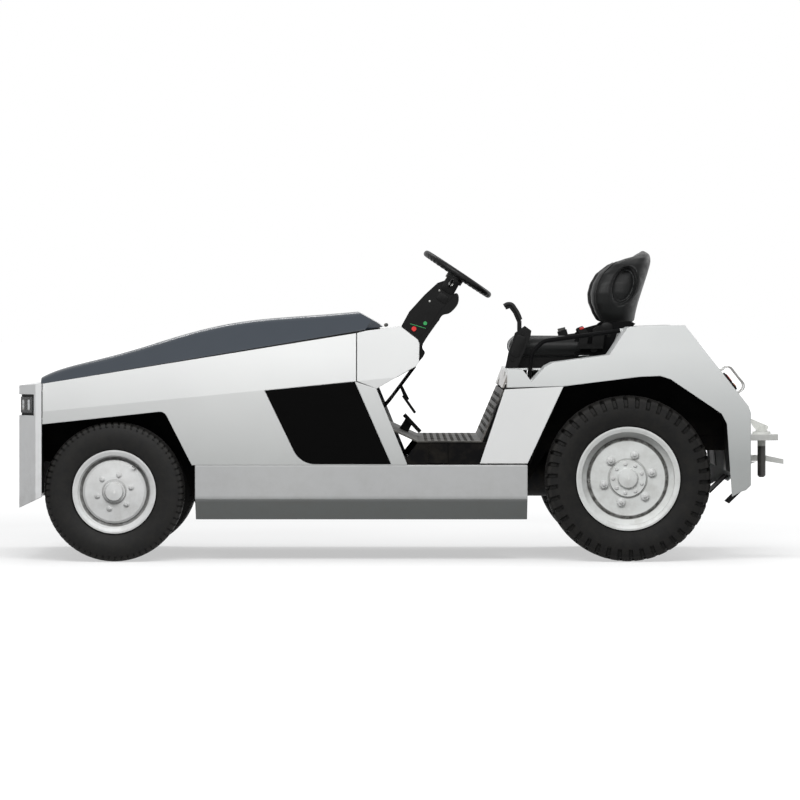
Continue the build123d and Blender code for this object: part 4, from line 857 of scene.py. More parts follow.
def crowned(centre: Array, across: Array, along: Array, half: tuple[float, float], wall: float, rise: float,
            power: float = 0.5, count: int = 44) -> tuple[Array, list[list[int]]]:
    """A low pad over a superellipse, its wall standing on a surface and its top swelling as 1 - s^2.

    The point at angle t and share s is centre + s * (a |cos t|^p across + b |sin t|^p along) + lift * out,
    where out is across x along and the lift is the wall plus rise * (1 - s^2).

    Args:
        centre: the foot's middle, on the surface.
        across: unit direction of the first half size.
        along: unit direction of the second half size.
        half: the two half sizes.
        wall: the wall's height.
        rise: how far the top swells above the wall.
        power: the superellipse's power; 1 is an ellipse.
        count: points round.

    Returns:
        Points and faces.
    """
    across, along = np.asarray(across, float), np.asarray(along, float)
    out = np.cross(across, along)
    share = np.array([1.0, 1.0, 0.975, 0.9, 0.75, 0.5, 0.25, 0.04])
    lift = np.concatenate([[-0.001], wall + rise * (1 - share[1:] ** 2)])
    lift[1] = wall * 0.8
    t = np.linspace(0, 2 * math.pi, count, endpoint=False)
    ring = (half[0] * signed_power(np.cos(t), power)[:, None] * across
            + half[1] * signed_power(np.sin(t), power)[:, None] * along)
    points = np.asarray(centre, float) + share[:, None, None] * ring[None] + lift[:, None, None] * out
    return points.reshape(-1, 3), tube_faces(len(share), count)


# Wheels and tyres


@dataclass(frozen=True)
class Tyre:
    """One pneumatic tyre, modelled as a closed ring round the axle."""

    node: str
    body: str
    axle: tuple[float, float]
    side: Side
    half_width: float
    rim_half: float
    rim_radius: float
    tread: Tread
    blocks: int
    cut: float
    bead_drop: float = 0.0174
    bead_in: float = 0.0123
    lip_out: float = 0.002
    lip_up: float = 0.004
    shoulder_in: float = 0.010
    shoulder_share: float = 0.955
    crown_share: float = 0.996
    crown_half: float = 0.62

    def half_profile(self) -> Array:
        """Bead, sidewall, shoulder and crown, from the bore's middle out to the tread's middle.

        The sidewall swells as a square law to the belly and falls back with the power 2.2 above it. The
        shoulder is a quarter ellipse, and the crown a straight fall of 0.4 % of the radius.

        Returns:
            Rows of distance from the tyre's middle plane, and radius.
        """
        w, r = self.half_width, self.axle[1]
        bead = self.rim_radius - self.bead_drop
        over = self.rim_radius + self.lip_up
        lip = self.rim_half + self.lip_out
        belly = (over + r) / 2
        edge = r * self.shoulder_share
        heel = self.rim_half - self.bead_in
        inner = np.array([[0.0, bead], [heel - 0.004, bead], [heel, bead + 0.004], [heel, over - 0.003],
                          [heel + 0.003, over], [lip - 0.003, over]])
        low_r = np.linspace(over + 0.002, belly, 12)
        low = np.stack([w - (w - lip) * ((belly - low_r) / (belly - over)) ** 2, low_r], 1)
        high_r = np.linspace(belly, edge, 14)[1:]
        high = np.stack([w - self.shoulder_in * ((high_r - belly) / (edge - belly)) ** 2.2, high_r], 1)
        turn = np.linspace(0, math.pi / 2, 9)[1:]
        flat = self.crown_half * w
        top = r * self.crown_share
        round_off = np.stack([flat + (w - self.shoulder_in - flat) * np.cos(turn),
                              edge + (top - edge) * np.sin(turn)], 1)
        stations = np.array([0.60, 0.565, 0.55, 0.50, 0.44, 0.425, 0.38, 0.34, 0.325, 0.26, 0.18, 0.155, 0.14,
                             0.08, 0.055, 0.04, 0.0]) * w
        crown = np.stack([stations, top + (r - top) * (1 - stations / flat)], 1)
        return np.concatenate([inner, low, high, round_off, crown])

    def profile(self) -> Array:
        """The half profile and its mirror image, as one closed run of rows."""
        half = self.half_profile()
        other = half[1:-1][::-1] * [-1, 1]
        return np.concatenate([half, other])

    def depths(self, rows: Array) -> tuple[Array, Array]:
        """How deep the ring grooves lie, and how far the cross cuts reach, on each row.

        Args:
            rows: the profile.

        Returns:
            The ring groove's depth in metres, and the cross cut's share from 0 to 1.
        """
        w, r = self.half_width, self.axle[1]
        across = np.abs(rows[:, 0]) / w
        outer = rows[:, 1] > r * 0.84
        ring = np.zeros(len(rows))
        if self.tread is Tread.ROAD:
            for low, high in ((0.37, 0.43), (-0.01, 0.05)):
                ring = np.where(outer & (across > low) & (across < high), self.cut, ring)
            reach = smooth_step(across, 0.50, 0.56) * smooth_step(rows[:, 1], r * 0.915, r * 0.945)
        else:
            ring = np.where(outer & (across > 0.15) & (across < 0.3), self.cut * 0.8, ring)
            reach = smooth_step(across, 0.31, 0.33) * smooth_step(rows[:, 1], r * 0.845, r * 0.885)
        return ring, np.where(outer, reach, 0)

    def angles(self) -> tuple[Array, Array]:
        """Angles of the points round one pitch, placed on the cuts' edges, and whether each is in a cut."""
        if self.tread is Tread.ROAD:
            share = np.array([0.0, 0.04, 0.17, 0.30, 0.34, 0.50, 0.67, 0.84])
            inside = np.array([0, 1, 1, 1, 0, 0, 0, 0], float)
        else:
            share = np.array([0.0, 0.06, 0.20, 0.34, 0.40, 0.50, 0.66, 0.83, 0.95])
            inside = np.array([0, 1, 1, 1, 0, 0, 0, 0, 0], float)
        pitch = 2 * math.pi / self.blocks
        start = np.arange(self.blocks)[:, None] * pitch
        return (start + share * pitch).ravel(), np.tile(inside, self.blocks)

    def build(self, finish: Finish) -> bpy.types.Object:
        """The ring: each row of the profile is set in along its own normal by the groove there.

        A row's angles are moved on by half a pitch towards each shoulder, so that the cuts slant and both
        shoulders' cuts stand in line.

        Args:
            finish: the rubber.

        Returns:
            The tyre.
        """
        rows = self.profile()
        ring, reach = self.depths(rows)
        angle, inside = self.angles()
        along = np.roll(rows, -1, 0) - np.roll(rows, 1, 0)
        normal = np.stack([along[:, 1], -along[:, 0]], 1)
        normal /= np.linalg.norm(normal, axis=1, keepdims=True)
        if np.sum(normal[:, 1] * (rows[:, 1] - rows[:, 1].mean())) < 0:
            normal = -normal
        pitch = 2 * math.pi / self.blocks
        slant = pitch / 2 * np.clip(rows[:, 0] / self.half_width, -1, 1)
        deep = np.maximum(ring[:, None], reach[:, None] * inside[None] * self.cut)
        turn = angle[None] + slant[:, None]
        out = rows[:, 0, None] - normal[:, 0, None] * deep
        radius = rows[:, 1, None] - normal[:, 1, None] * deep
        middle = self.side.value * (HALF_WIDTH - TYRE_SET_IN - self.half_width)
        points = np.stack([self.axle[0] + radius * np.cos(turn), middle + out + 0 * turn,
                           self.axle[1] + radius * np.sin(turn)], -1)
        faces = grid_faces(len(rows), len(angle), True, True)
        made = make_piece(self.node + "_tread", points, faces, finish, sharp=38)
        wear = made.data.attributes.new("wear", "FLOAT", "POINT")
        worn = np.clip(1 - deep / self.cut, 0, 1) * (rows[:, 1, None] > self.axle[1] * 0.94)
        wear.data.foreach_set("value", (worn + 0 * turn).ravel().astype(np.float32))
        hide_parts(self.node)
        return place(made, self.body)


@dataclass(frozen=True)
class Wheel:
    """What is bolted on and pushed through one pressed steel wheel."""

    body: str
    axle: tuple[float, float]
    side: Side
    lip: float
    disc_in: float
    nut_circle: float
    nut_top: float
    valve_radius: float
    flange_radius: float = 0.0
    flange_top: float = 0.0
    flange_bolts: int = 0
    nut_phase: float = 14.0
    valve_angle: float = 48.0

    def spot(self, angle: float, radius: float, out: float) -> Array:
        """A point on the wheel at an angle in degrees and a radius, so far out of the lip's plane."""
        a = math.radians(angle)
        return np.array([self.axle[0] + radius * math.cos(a), self.side.value * (self.lip + out),
                         self.axle[1] + radius * math.sin(a)])

    def studs(self) -> bpy.types.Object:
        """A threaded stud end through each nut, and the flange's small bolts where the wheel has them."""
        out = np.array([0, self.side.value, 0.0])
        ends = [self.spot(self.nut_phase + 60 * k, self.nut_circle, self.nut_top) for k in range(6)]
        stud = np.array([[0.0075, -0.001], [0.0075, 0.006], [0.006, 0.008]])
        parts = [turned(stud, c, out, 16) for c in ends]
        cone = np.array([[0.0175, -0.0075], [0.0175, -0.005], [0.0125, -0.0005], [0.0105, 0.0008]])
        cone = cone * ([1.12, 1] if self.flange_bolts else [0.9, 1])
        parts += [turned(cone, c, out, 24) for c in ends]
        if self.flange_bolts:
            step = 360 / self.flange_bolts
            spots = [self.spot(20 + step * k, self.flange_radius, self.flange_top)
                     for k in range(self.flange_bolts)]
            parts.append(hex_bolts(spots, [out] * len(spots), 0.0075, 0.006, 0.0095))
        return assemble(f"{self.body}_studs", parts, WHEEL_SILVER, self.body)

    def valve(self) -> bpy.types.Object:
        """A bent valve stem with its cap: a circle carried along a smooth curve out of the rim's well."""
        a, r, disc = self.valve_angle, self.valve_radius, -self.disc_in
        path = curve_through(np.array([self.spot(a, r - 0.012, disc - 0.010), self.spot(a, r, disc - 0.001),
                                       self.spot(a, r + 0.006, disc + 0.010),
                                       self.spot(a + 4, r + 0.004, disc + 0.022)]), 14)
        stem = swept(path, circle(0.0032, 12), (0, 0, 1))
        lead = path[-1] - path[-2]
        cap = np.array([[0.0042, -0.002], [0.0048, 0.0], [0.0048, 0.008], [0.0036, 0.0095]])
        parts = [stem, turned(cap, path[-1], lead, 16)]
        return assemble(f"{self.body}_valve", parts, BRIGHT_STEEL, self.body)

    def build(self) -> None:
        """Studs and valve."""
        self.studs()
        self.valve()


@dataclass(frozen=True)
class RunningGear:
    """The four wheels with their tyres, and the finish of axles, springs and steering."""

    front_blocks: int = 66
    rear_blocks: int = 42

    def build(self) -> None:
        """Tyres, wheels and their fasteners, then the carried-over nodes."""
        front_rubber = CuredRubber("rubber cured front tyre", "0f0f0f", 0.6, 0.2, centre=FRONT_AXLE,
                                   rings=True)
        rear_rubber = CuredRubber("rubber cured rear tyre", "0f0f0f", 0.64, 0.16, centre=REAR_AXLE,
                                  rings=True)
        for side in Side:
            Tyre(f"tyre_front_{side.word}", f"wheel_front_{side.word}", FRONT_AXLE, side, 0.089, 0.070, 0.188,
                 Tread.ROAD, self.front_blocks, 0.006).build(front_rubber)
            Tyre(f"tyre_rear_{side.word}", f"wheel_rear_{side.word}", REAR_AXLE, side, 0.104, 0.0825, 0.234,
                 Tread.LUG, self.rear_blocks, 0.013).build(rear_rubber)
            Wheel(f"wheel_front_{side.word}", FRONT_AXLE, side, 0.666, 0.024, 0.077, -0.013, 0.139).build()
            Wheel(f"wheel_rear_{side.word}", REAR_AXLE, side, 0.6635, 0.052, 0.111, -0.034, 0.172, 0.066,
                  -0.036, 9, valve_angle=182.0).build()
        dress({"rim_front_left": FRONT_SILVER, "rim_front_right": FRONT_SILVER, "rim_rear_left": REAR_SILVER,
               "rim_rear_right": REAR_SILVER, "drive_axle": CAST_IRON, "front_axle": CAST_IRON,
               "springs_front": CAST_IRON, "springs_rear": CAST_IRON, "knuckle_left": CAST_IRON,
               "knuckle_right": CAST_IRON, "tie_rod": BARE_STEEL})


def dress(finishes: dict[str, Finish]) -> None:
    """Gives carried-over nodes their finish.

    Args:
        finishes: a finish for each node's name.
    """
    for name, finish in finishes.items():
        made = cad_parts.get(name)
        if made is None:
            LOG.warning("there is no node %s", name)
            continue
        made.data.materials.clear()
        made.data.materials.append(finish.material())
        LOG.info("%s is %s", name, finish.name)


# Seat


def inflate(made: bpy.types.Object, voxel: float, cap: float, pressure: float = 4.0) -> None:
    """Swells a closed mesh with Cloth: remeshed, blown up, held within a cap and subdivided once.

    Args:
        made: the piece, whose mesh is changed.
        voxel: the remesh size in metres.
        cap: how far a point may move, in metres.
        pressure: the air pressure inside.
    """
    remesh = made.modifiers.new("remesh", "REMESH")
    remesh.mode = "VOXEL"
    remesh.voxel_size = voxel
    bake(made)
    count = len(made.data.vertices)
    before = np.empty(count * 3)
    made.data.vertices.foreach_get("co", before)
    scene = bpy.context.scene
    cloth = made.modifiers.new("cloth", "CLOTH")
    cloth.settings.use_pressure = True
    cloth.settings.uniform_pressure_force = pressure
    cloth.settings.effector_weights.gravity = 0.0
    cloth.settings.quality = 5
    cloth.settings.tension_stiffness = 15
    cloth.settings.compression_stiffness = 15
    cloth.point_cache.frame_start = 1
    cloth.point_cache.frame_end = 20
    for step in range(1, 21):
        scene.frame_set(step)
    bake(made)
    scene.frame_set(1)
    after = np.empty(count * 3)
    made.data.vertices.foreach_get("co", after)
    move = (after - before).reshape(-1, 3)
    size = np.linalg.norm(move, axis=1, keepdims=True)
    held = before.reshape(-1, 3) + move * np.minimum(1, cap / np.maximum(size, 1e-9))
    made.data.vertices.foreach_set("co", held.ravel())
    made.data.update()
    smooth = made.modifiers.new("finer", "SUBSURF")
    smooth.levels = smooth.render_levels = 1
    bake(made)
    made.data.shade_smooth()


def bake(made: bpy.types.Object) -> None:
    """Applies every modifier of an object to its mesh, keeping its materials."""
    graph = bpy.context.evaluated_depsgraph_get()
    fresh = bpy.data.meshes.new_from_object(made.evaluated_get(graph), preserve_all_data_layers=True,
                                            depsgraph=graph)
    finishes = list(made.data.materials)
    made.modifiers.clear()
    made.data = fresh
    fresh.materials.clear()
    for finish in finishes:
        fresh.materials.append(finish)


@dataclass(frozen=True)
class DriverSeat:
    """The bucket seat on its base: cushion, wrap-round back, piping, belt, recliner and parking lever."""

    rear_axle: float = REAR_AXLE[0]
    bolster_out: float = 0.200
    bolster_radius: float = 0.0445
    back_low: float = 1.070
    back_top: float = 1.4145
    recess_spot: tuple[float, float] = (0.004, 1.248)
    recess_half: tuple[float, float] = (0.060, 0.100)
    recess_depth: float = 0.058
    recess_tilt: float = 20.0
    roll: float = 0.026
    pivot: tuple[float, float] = (-0.076, 1.052)
    knob: tuple[float, float] = (-0.060, -0.096)
    cheek_out: float = 0.230
    lever_side: float = -0.284
    lever_bend: tuple[tuple[float, float], ...] = (
        (-0.551, 1.154), (-0.534, 1.163), (-0.514, 1.160), (-0.498, 1.140), (-0.485, 1.118), (-0.474, 1.090))
    console_spot: tuple[float, float, float] = (-0.487, -0.3055, 0.968)
    console_lean: tuple[float, float, float] = (0.36, 0.0, 0.933)
    button_spot: tuple[float, float] = (-0.193, 1.0515)
    button_lean: tuple[float, float, float] = (0.944, 0.0, 0.33)
    back_welt_span: tuple[float, float] = (1.10, 1.375)
    flank_welt_span: tuple[float, float] = (1.098, 1.372)

    def capsule(self, start: Array, end: Array, radius: float,
                count: int = 28) -> tuple[Array, list[list[int]]]:
        """A cylinder with half-ball ends: radius times the cosine of latitude, moved along by its sine.

        Args:
            start: the first ball's middle.
            end: the second ball's middle.
            radius: the radius.
            count: points round.

        Returns:
            Points and faces.
        """
        turn = np.linspace(-math.pi / 2 * 0.96, math.pi / 2 * 0.96, 18)
        reach = float(np.linalg.norm(end - start))
        height = radius * np.sin(turn) + np.where(turn > 0, reach, 0)
        profile = np.stack([radius * np.cos(turn), height], 1)
        return turned(profile, start, end - start, count)

    def pad(self, low: Array, high: Array, crown: float) -> tuple[Array, list[list[int]]]:
        """A crowned slab: a superellipsoid with powers 0.6 and 0.4, its top raised by cosines in x and y.

        Args:
            low: its lowest corner.
            high: its highest corner, before the crown.
            crown: how far the middle of its top is raised.

        Returns:
            Points and faces.
        """
        u = np.linspace(-math.pi / 2 * 0.985, math.pi / 2 * 0.985, 30)[:, None]
        v = np.linspace(0, 2 * math.pi, 72, endpoint=False)[None]
        x = signed_power(np.cos(u), 0.6) * signed_power(np.cos(v), 0.4)
        y = signed_power(np.cos(u), 0.6) * signed_power(np.sin(v), 0.4)
        z = signed_power(np.sin(u), 0.6) + 0 * v
        middle, half = (low + high) / 2, (high - low) / 2
        points = np.stack([x, y, z], -1) * half + middle
        points[..., 2] += crown * np.cos(x * 1.4) * np.cos(y * 1.4) * (z > 0)
        return points.reshape(-1, 3), tube_faces(30, 72)

    def cushion(self) -> bpy.types.Object:
        """Two round bolsters with a nose roll and a crowned pad between them, grown into one and swollen."""
        low, high = (np.array(c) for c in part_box("seat_cushion"))
        r = self.bolster_radius
        axis_z = low[2] + r + 0.0035
        parts = []
        for side in (-1, 1):
            start = np.array([low[0] + r + 0.004, side * self.bolster_out, axis_z])
            end = np.array([high[0] - r - 0.004, side * self.bolster_out, axis_z])
            parts.append(self.capsule(start, end, r))
        nose = np.array([low[0] + 0.043, 0, axis_z + 0.002])
        parts.append(self.capsule(nose - [0, 0.17, 0], nose + [0, 0.17, 0], 0.038))
        parts.append(self.pad(np.array([low[0] + 0.035, -0.175, low[2] + 0.003]),
                              np.array([high[0] - 0.008, 0.175, low[2] + 0.066]), 0.008))
        points, faces = merge(parts)
        made = make_piece("seat_cushion_vinyl", points, faces, SEAT_VINYL)
        inflate(made, 0.0055, 0.004)
        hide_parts("seat_cushion")
        return place(made, "chassis")

    def outline(self, height: Array) -> tuple[Array, Array, Array, Array]:
        """The back at each height: its half width, the wings' front, the pad's front and the shell's rear."""
        a = self.rear_axle
        levels = np.array([1.067, 1.12, 1.17, 1.214, 1.26, 1.305, 1.351, 1.381, 1.400, 1.411])
        half = np.array([0.190, 0.216, 0.232, 0.238, 0.232, 0.216, 0.186, 0.150, 0.105, 0.04])
        wing = np.array([-0.106, -0.136, -0.151, -0.153, -0.141, -0.117, -0.066, -0.002, 0.050, 0.085])
        middle = np.array([-0.055, -0.052, -0.046, -0.038, -0.018, 0.006, 0.034, 0.058, 0.080, 0.095])
        rear = np.array([0.054, 0.062, 0.074, 0.088, 0.103, 0.118, 0.132, 0.139, 0.134, 0.122])
        return (np.interp(height, levels, half), a + np.interp(height, levels, wing),
                a + np.interp(height, levels, middle), a + np.interp(height, levels, rear))

    def back_points(self) -> tuple[Array, list[list[int]]]:
        """The back as a superellipse at each height.

        A point at angle t stands (|cos t|^4.76 + |sin t|^4.76)^(-1/4.76) from the middle, scaled by the half
        width across and by half the distance from front to rear. The front runs from the pad in the middle to
        the wings, a smooth step across. Each side face is sunk inside a tilted ellipse, and both ends are
        drawn in as quarter ellipses.

        Returns:
            Points and faces.
        """
        rows, columns = 64, 168
        share = np.linspace(0, 1, rows)
        height = self.back_low + (self.back_top - self.back_low) * share
        half, wing, middle, rear = (k[:, None] for k in self.outline(height))
        ends = np.sqrt(1 - np.clip(1 - share / 0.06, 0, 1) ** 2)[:, None]
        ends = np.maximum(ends * np.sqrt(1 - np.clip((share - 0.94) / 0.06, 0, 1) ** 2)[:, None], 0.05)
        t = np.linspace(0, 2 * math.pi, columns, endpoint=False)[None]
        reach = (np.abs(np.cos(t)) ** 4.76 + np.abs(np.sin(t)) ** 4.76) ** (-1 / 4.76)
        across, deep = reach * np.cos(t), reach * np.sin(t)
        y = half * across * (0.82 + 0.18 * ends)
        step = smooth_step(np.abs(y), 0.095, 0.165)
        front = middle + (wing - middle) * step
        rear_here = rear - 0.030 * np.abs(across) ** 3
        x = (rear_here + front) / 2 - (rear_here - front) / 2 * deep * ends
        tilt = math.radians(self.recess_tilt)
        along, up = x - self.rear_axle - self.recess_spot[0], height[:, None] - self.recess_spot[1]
        u = (along * math.cos(tilt) - up * math.sin(tilt)) / self.recess_half[0]
        v = (along * math.sin(tilt) + up * math.cos(tilt)) / self.recess_half[1]
        inside = 1 - smooth_step(np.hypot(u, v), 0.80, 1.0)
        y = y - np.sign(across) * self.recess_depth * inside * smooth_step(np.abs(across), 0.70, 0.90)
        z = height[:, None] + 0 * t
        points = np.stack([x, y, z], -1)
        return points.reshape(-1, 3), tube_faces(rows, columns)

    def back(self) -> bpy.types.Object:
        """The wrap-round back, swollen as foam under vinyl."""
        points, faces = self.back_points()
        made = make_piece("seat_back_vinyl", points, faces, SEAT_VINYL)
        inflate(made, 0.006, 0.004)
        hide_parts("seat_back")
        return place(made, "chassis")

    def piping(self, target: bpy.types.Object, name: str, line: Array, lean: Array, radius: float = 0.0032
               ) -> bpy.types.Object:
        """A welt laid on a cushion: a line is dropped onto its skin along lean, and a circle carried along.

        Args:
            target: the cushion.
            name: the welt's name.
            line: points off the skin.
            lean: the direction from each point to the skin.
            radius: the welt's radius.

        Returns:
            The welt.
        """
        points = []
        lean = lean / np.linalg.norm(lean)
        for spot in line:
            hit, where, normal, _ = target.ray_cast(tuple(spot), tuple(lean), distance=0.4)
            if hit:
                points.append(np.array(where) + np.array(normal) * radius * 0.25)
        if len(points) < 4:
            LOG.warning("%s found too little of its cushion", name)
            return target
        path = curve_through(np.array(points), len(points) * 2)
        soft = np.stack([np.convolve(np.pad(path[:, k], 3, "edge"), np.ones(7) / 7, "valid")
                         for k in range(3)], 1)
        up = (0, 0, 1) if abs(lean[2]) < 0.5 else (0, 1, 0)
        return assemble(name, [swept(soft, circle(radius, 10), up)], PIPING)

    def belt(self) -> None:
        """The lap belt: a strap that comes from its reel over the bolster's rear end to the buckle's side."""
        low, high = (np.array(c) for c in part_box("seat_cushion"))
        reel_x, reel_z = high[0] - 0.050, low[2] + 0.045
        side = high[1] + 0.004
        middle, across = np.array([reel_x, side, reel_z]), np.array([0, 1.0, 0])
        drum = np.array([[0.034, 0.0], [0.036, 0.003], [0.036, 0.028], [0.033, 0.031]])
        hub = np.array([[0.020, 0.029], [0.020, 0.034], [0.017, 0.036]])
        parts = [turned(drum, middle, across, 40), turned(hub, middle, across, 30)]
        assemble("belt_reel", parts, TRIM_PLASTIC)
        y = side + 0.016
        line = curve_through(np.array([[reel_x - 0.034, y, reel_z + 0.004],
                                       [reel_x - 0.040, y, reel_z + 0.040],
                                       [reel_x - 0.045, y - 0.002, reel_z + 0.060],
                                       [reel_x - 0.049, y - 0.004, reel_z + 0.074]]), 24)
        strap = np.array([[-0.023, -0.0006], [0.023, -0.0006], [0.023, 0.0006], [-0.023, 0.0006]])[:, ::-1]
        tube, quads = swept(line, strap, (1.0, 0.0, 0.12))
        web = make_piece("belt_strap", tube, quads, BELT_WEB)
        uv = web.data.uv_layers.new(name="UVMap")
        spots = np.empty(len(web.data.vertices) * 3)
        web.data.vertices.foreach_get("co", spots)
        index = np.empty(len(web.data.loops), dtype=np.int64)
        web.data.loops.foreach_get("vertex_index", index)
        spots = spots.reshape(-1, 3)[index]
        uv.data.foreach_set("uv", np.stack([spots[:, 0], spots[:, 2]], 1).ravel())
        place(web, "chassis")
        tongue = curve_through(np.array([line[-1], line[-1] + [-0.003, 0, 0.012]]), 4)
        plate = swept(tongue, strap * [1.6, 0.8], (1.0, 0.0, 0.12))
        assemble("belt_tongue", [plate], BLUED_STEEL)

    def brake_grip(self) -> None:
        """The parking lever's grip, a rounded section swept along its bend, and the console's cover."""
        bend = np.array([[x + self.rear_axle, self.lever_side, z] for x, z in self.lever_bend])
        path = curve_through(bend, 36)
        turn = np.linspace(0, 2 * math.pi, 24, endpoint=False)
        section = np.stack([0.0088 * signed_power(np.cos(turn), 0.6),
                            0.0122 * signed_power(np.sin(turn), 0.6)], 1)
        assemble("brake_grip", [swept(path, section, (0.0, 1.0, 0.0))], GRIP_PLASTIC)
        left, lean = np.array([0.0, -1.0, 0.0]), np.array(self.console_lean)
        across = np.cross(lean, left)
        centre = np.array(self.console_spot) + [self.rear_axle, 0, 0]
        cover = crowned(centre, across, lean, (0.024, 0.052), 0.003, 0.002, 0.4)
        bolts = hex_bolts([centre + lean * 0.062, centre - lean * 0.068], [left] * 2, 0.0075, 0.005, 0.010)
        assemble("brake_console_cover", [cover, bolts], TRIM_PLASTIC)

    def cheeks(self) -> None:
        """Recliner cheeks between cushion and back: a plate each side on one cross tube, with caps."""
        corners = np.array([[-0.222, 0.926], [-0.232, 0.965], [-0.220, 1.016], [-0.180, 1.046],
                            [-0.064, 1.078], [0.034, 1.084], [0.056, 1.072], [0.000, 1.010],
                            [-0.048, 0.962], [-0.086, 0.930]])
        outline = corners + [self.rear_axle, 0]
        pivot = np.array([self.rear_axle + self.pivot[0], 0.0, self.pivot[1]])
        across = np.array([0.0, 1.0, 0.0])
        tube = np.array([[0.011, -self.cheek_out], [0.011, self.cheek_out]])
        parts = [turned(tube, pivot, across, 20)]
        caps = []
        for side in Side:
            inner, outer = sorted(side.value * (self.cheek_out + k) for k in (-0.004, 0.004))
            parts.append(slab(outline, inner, outer, 0.002))
            face = across * side.value
            foot = pivot + face * (self.cheek_out + 0.004)
            cap = np.array([[0.029, -0.001], [0.029, 0.004], [0.026, 0.008], [0.017, 0.0105], [0.006, 0.011]])
            caps.append(turned(cap, foot, face, 40))
            knob = np.array([[0.015, -0.001], [0.0155, 0.004], [0.017, 0.006], [0.017, 0.015],
                             [0.0145, 0.018], [0.009, 0.0186], [0.008, 0.0172]])
            caps.append(turned(knob, foot + [self.knob[0], 0, self.knob[1]], face, 10))
            bolts = [foot + [dx, 0, dz] for dx, dz in ((-0.118, -0.080), (-0.112, -0.010), (0.010, -0.034))]
            caps.append(hex_bolts(bolts, [face] * 3, 0.0085, 0.006, 0.011))
        assemble("recliner_cheeks", parts, CHASSIS_BLACK)
        assemble("recliner_caps", caps, TRIM_PLASTIC)

    def latch(self) -> None:
        """The red release button on the flank of the buckle's front arm: a crowned pad."""
        low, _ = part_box("belt_buckle")
        lean = np.array(self.button_lean)
        left = np.array([0.0, -1.0, 0.0])
        centre = np.array([self.rear_axle + self.button_spot[0], low[1], self.button_spot[1]])
        button = crowned(centre, np.cross(lean, left), lean, (0.0055, 0.0105), 0.002, 0.0015, 0.5, 28)
        assemble("belt_button", [button], SCUFFED_RED)

    def build(self) -> None:
        """Cushion, back, welts, belt, recliner and latch."""
        cushion = self.cushion()
        low, high = (np.array(c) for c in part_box("seat_cushion"))
        xs = np.linspace(low[0] + 0.05, high[0] - 0.05, 40)
        for side in Side:
            y = side.value * 0.168
            line = np.stack([xs, np.full(40, y), np.full(40, high[2] + 0.08)], 1)
            self.piping(cushion, f"cushion_welt_{side.word}", line, np.array([0, 0, -1.0]))
        back = self.back()
        zs = np.linspace(*self.back_welt_span, 44)
        half, _, _, _ = self.outline(zs)
        for side in Side:
            y = np.minimum(half - 0.060, 0.150) * side.value
            line = np.stack([np.full(44, self.rear_axle - 0.30), y, zs], 1)
            self.piping(back, f"back_welt_{side.word}", line, np.array([1.0, 0, 0]))
            rise = np.linspace(*self.flank_welt_span, 44)
            _, wing, _, _ = self.outline(rise)
            ring = np.stack([wing + self.roll, np.full(44, side.value * 0.30), rise], 1)
            self.piping(back, f"flank_welt_{side.word}", ring, np.array([0, -float(side.value), 0.0]), 0.0028)
        self.belt()
        self.brake_grip()
        self.cheeks()
        self.latch()
        dress({"seat_base": TRIM_PLASTIC, "hip_guards": CHASSIS_BLACK, "brake_lever": TRIM_PLASTIC,
               "belt_buckle": TRIM_PLASTIC})


# Steering


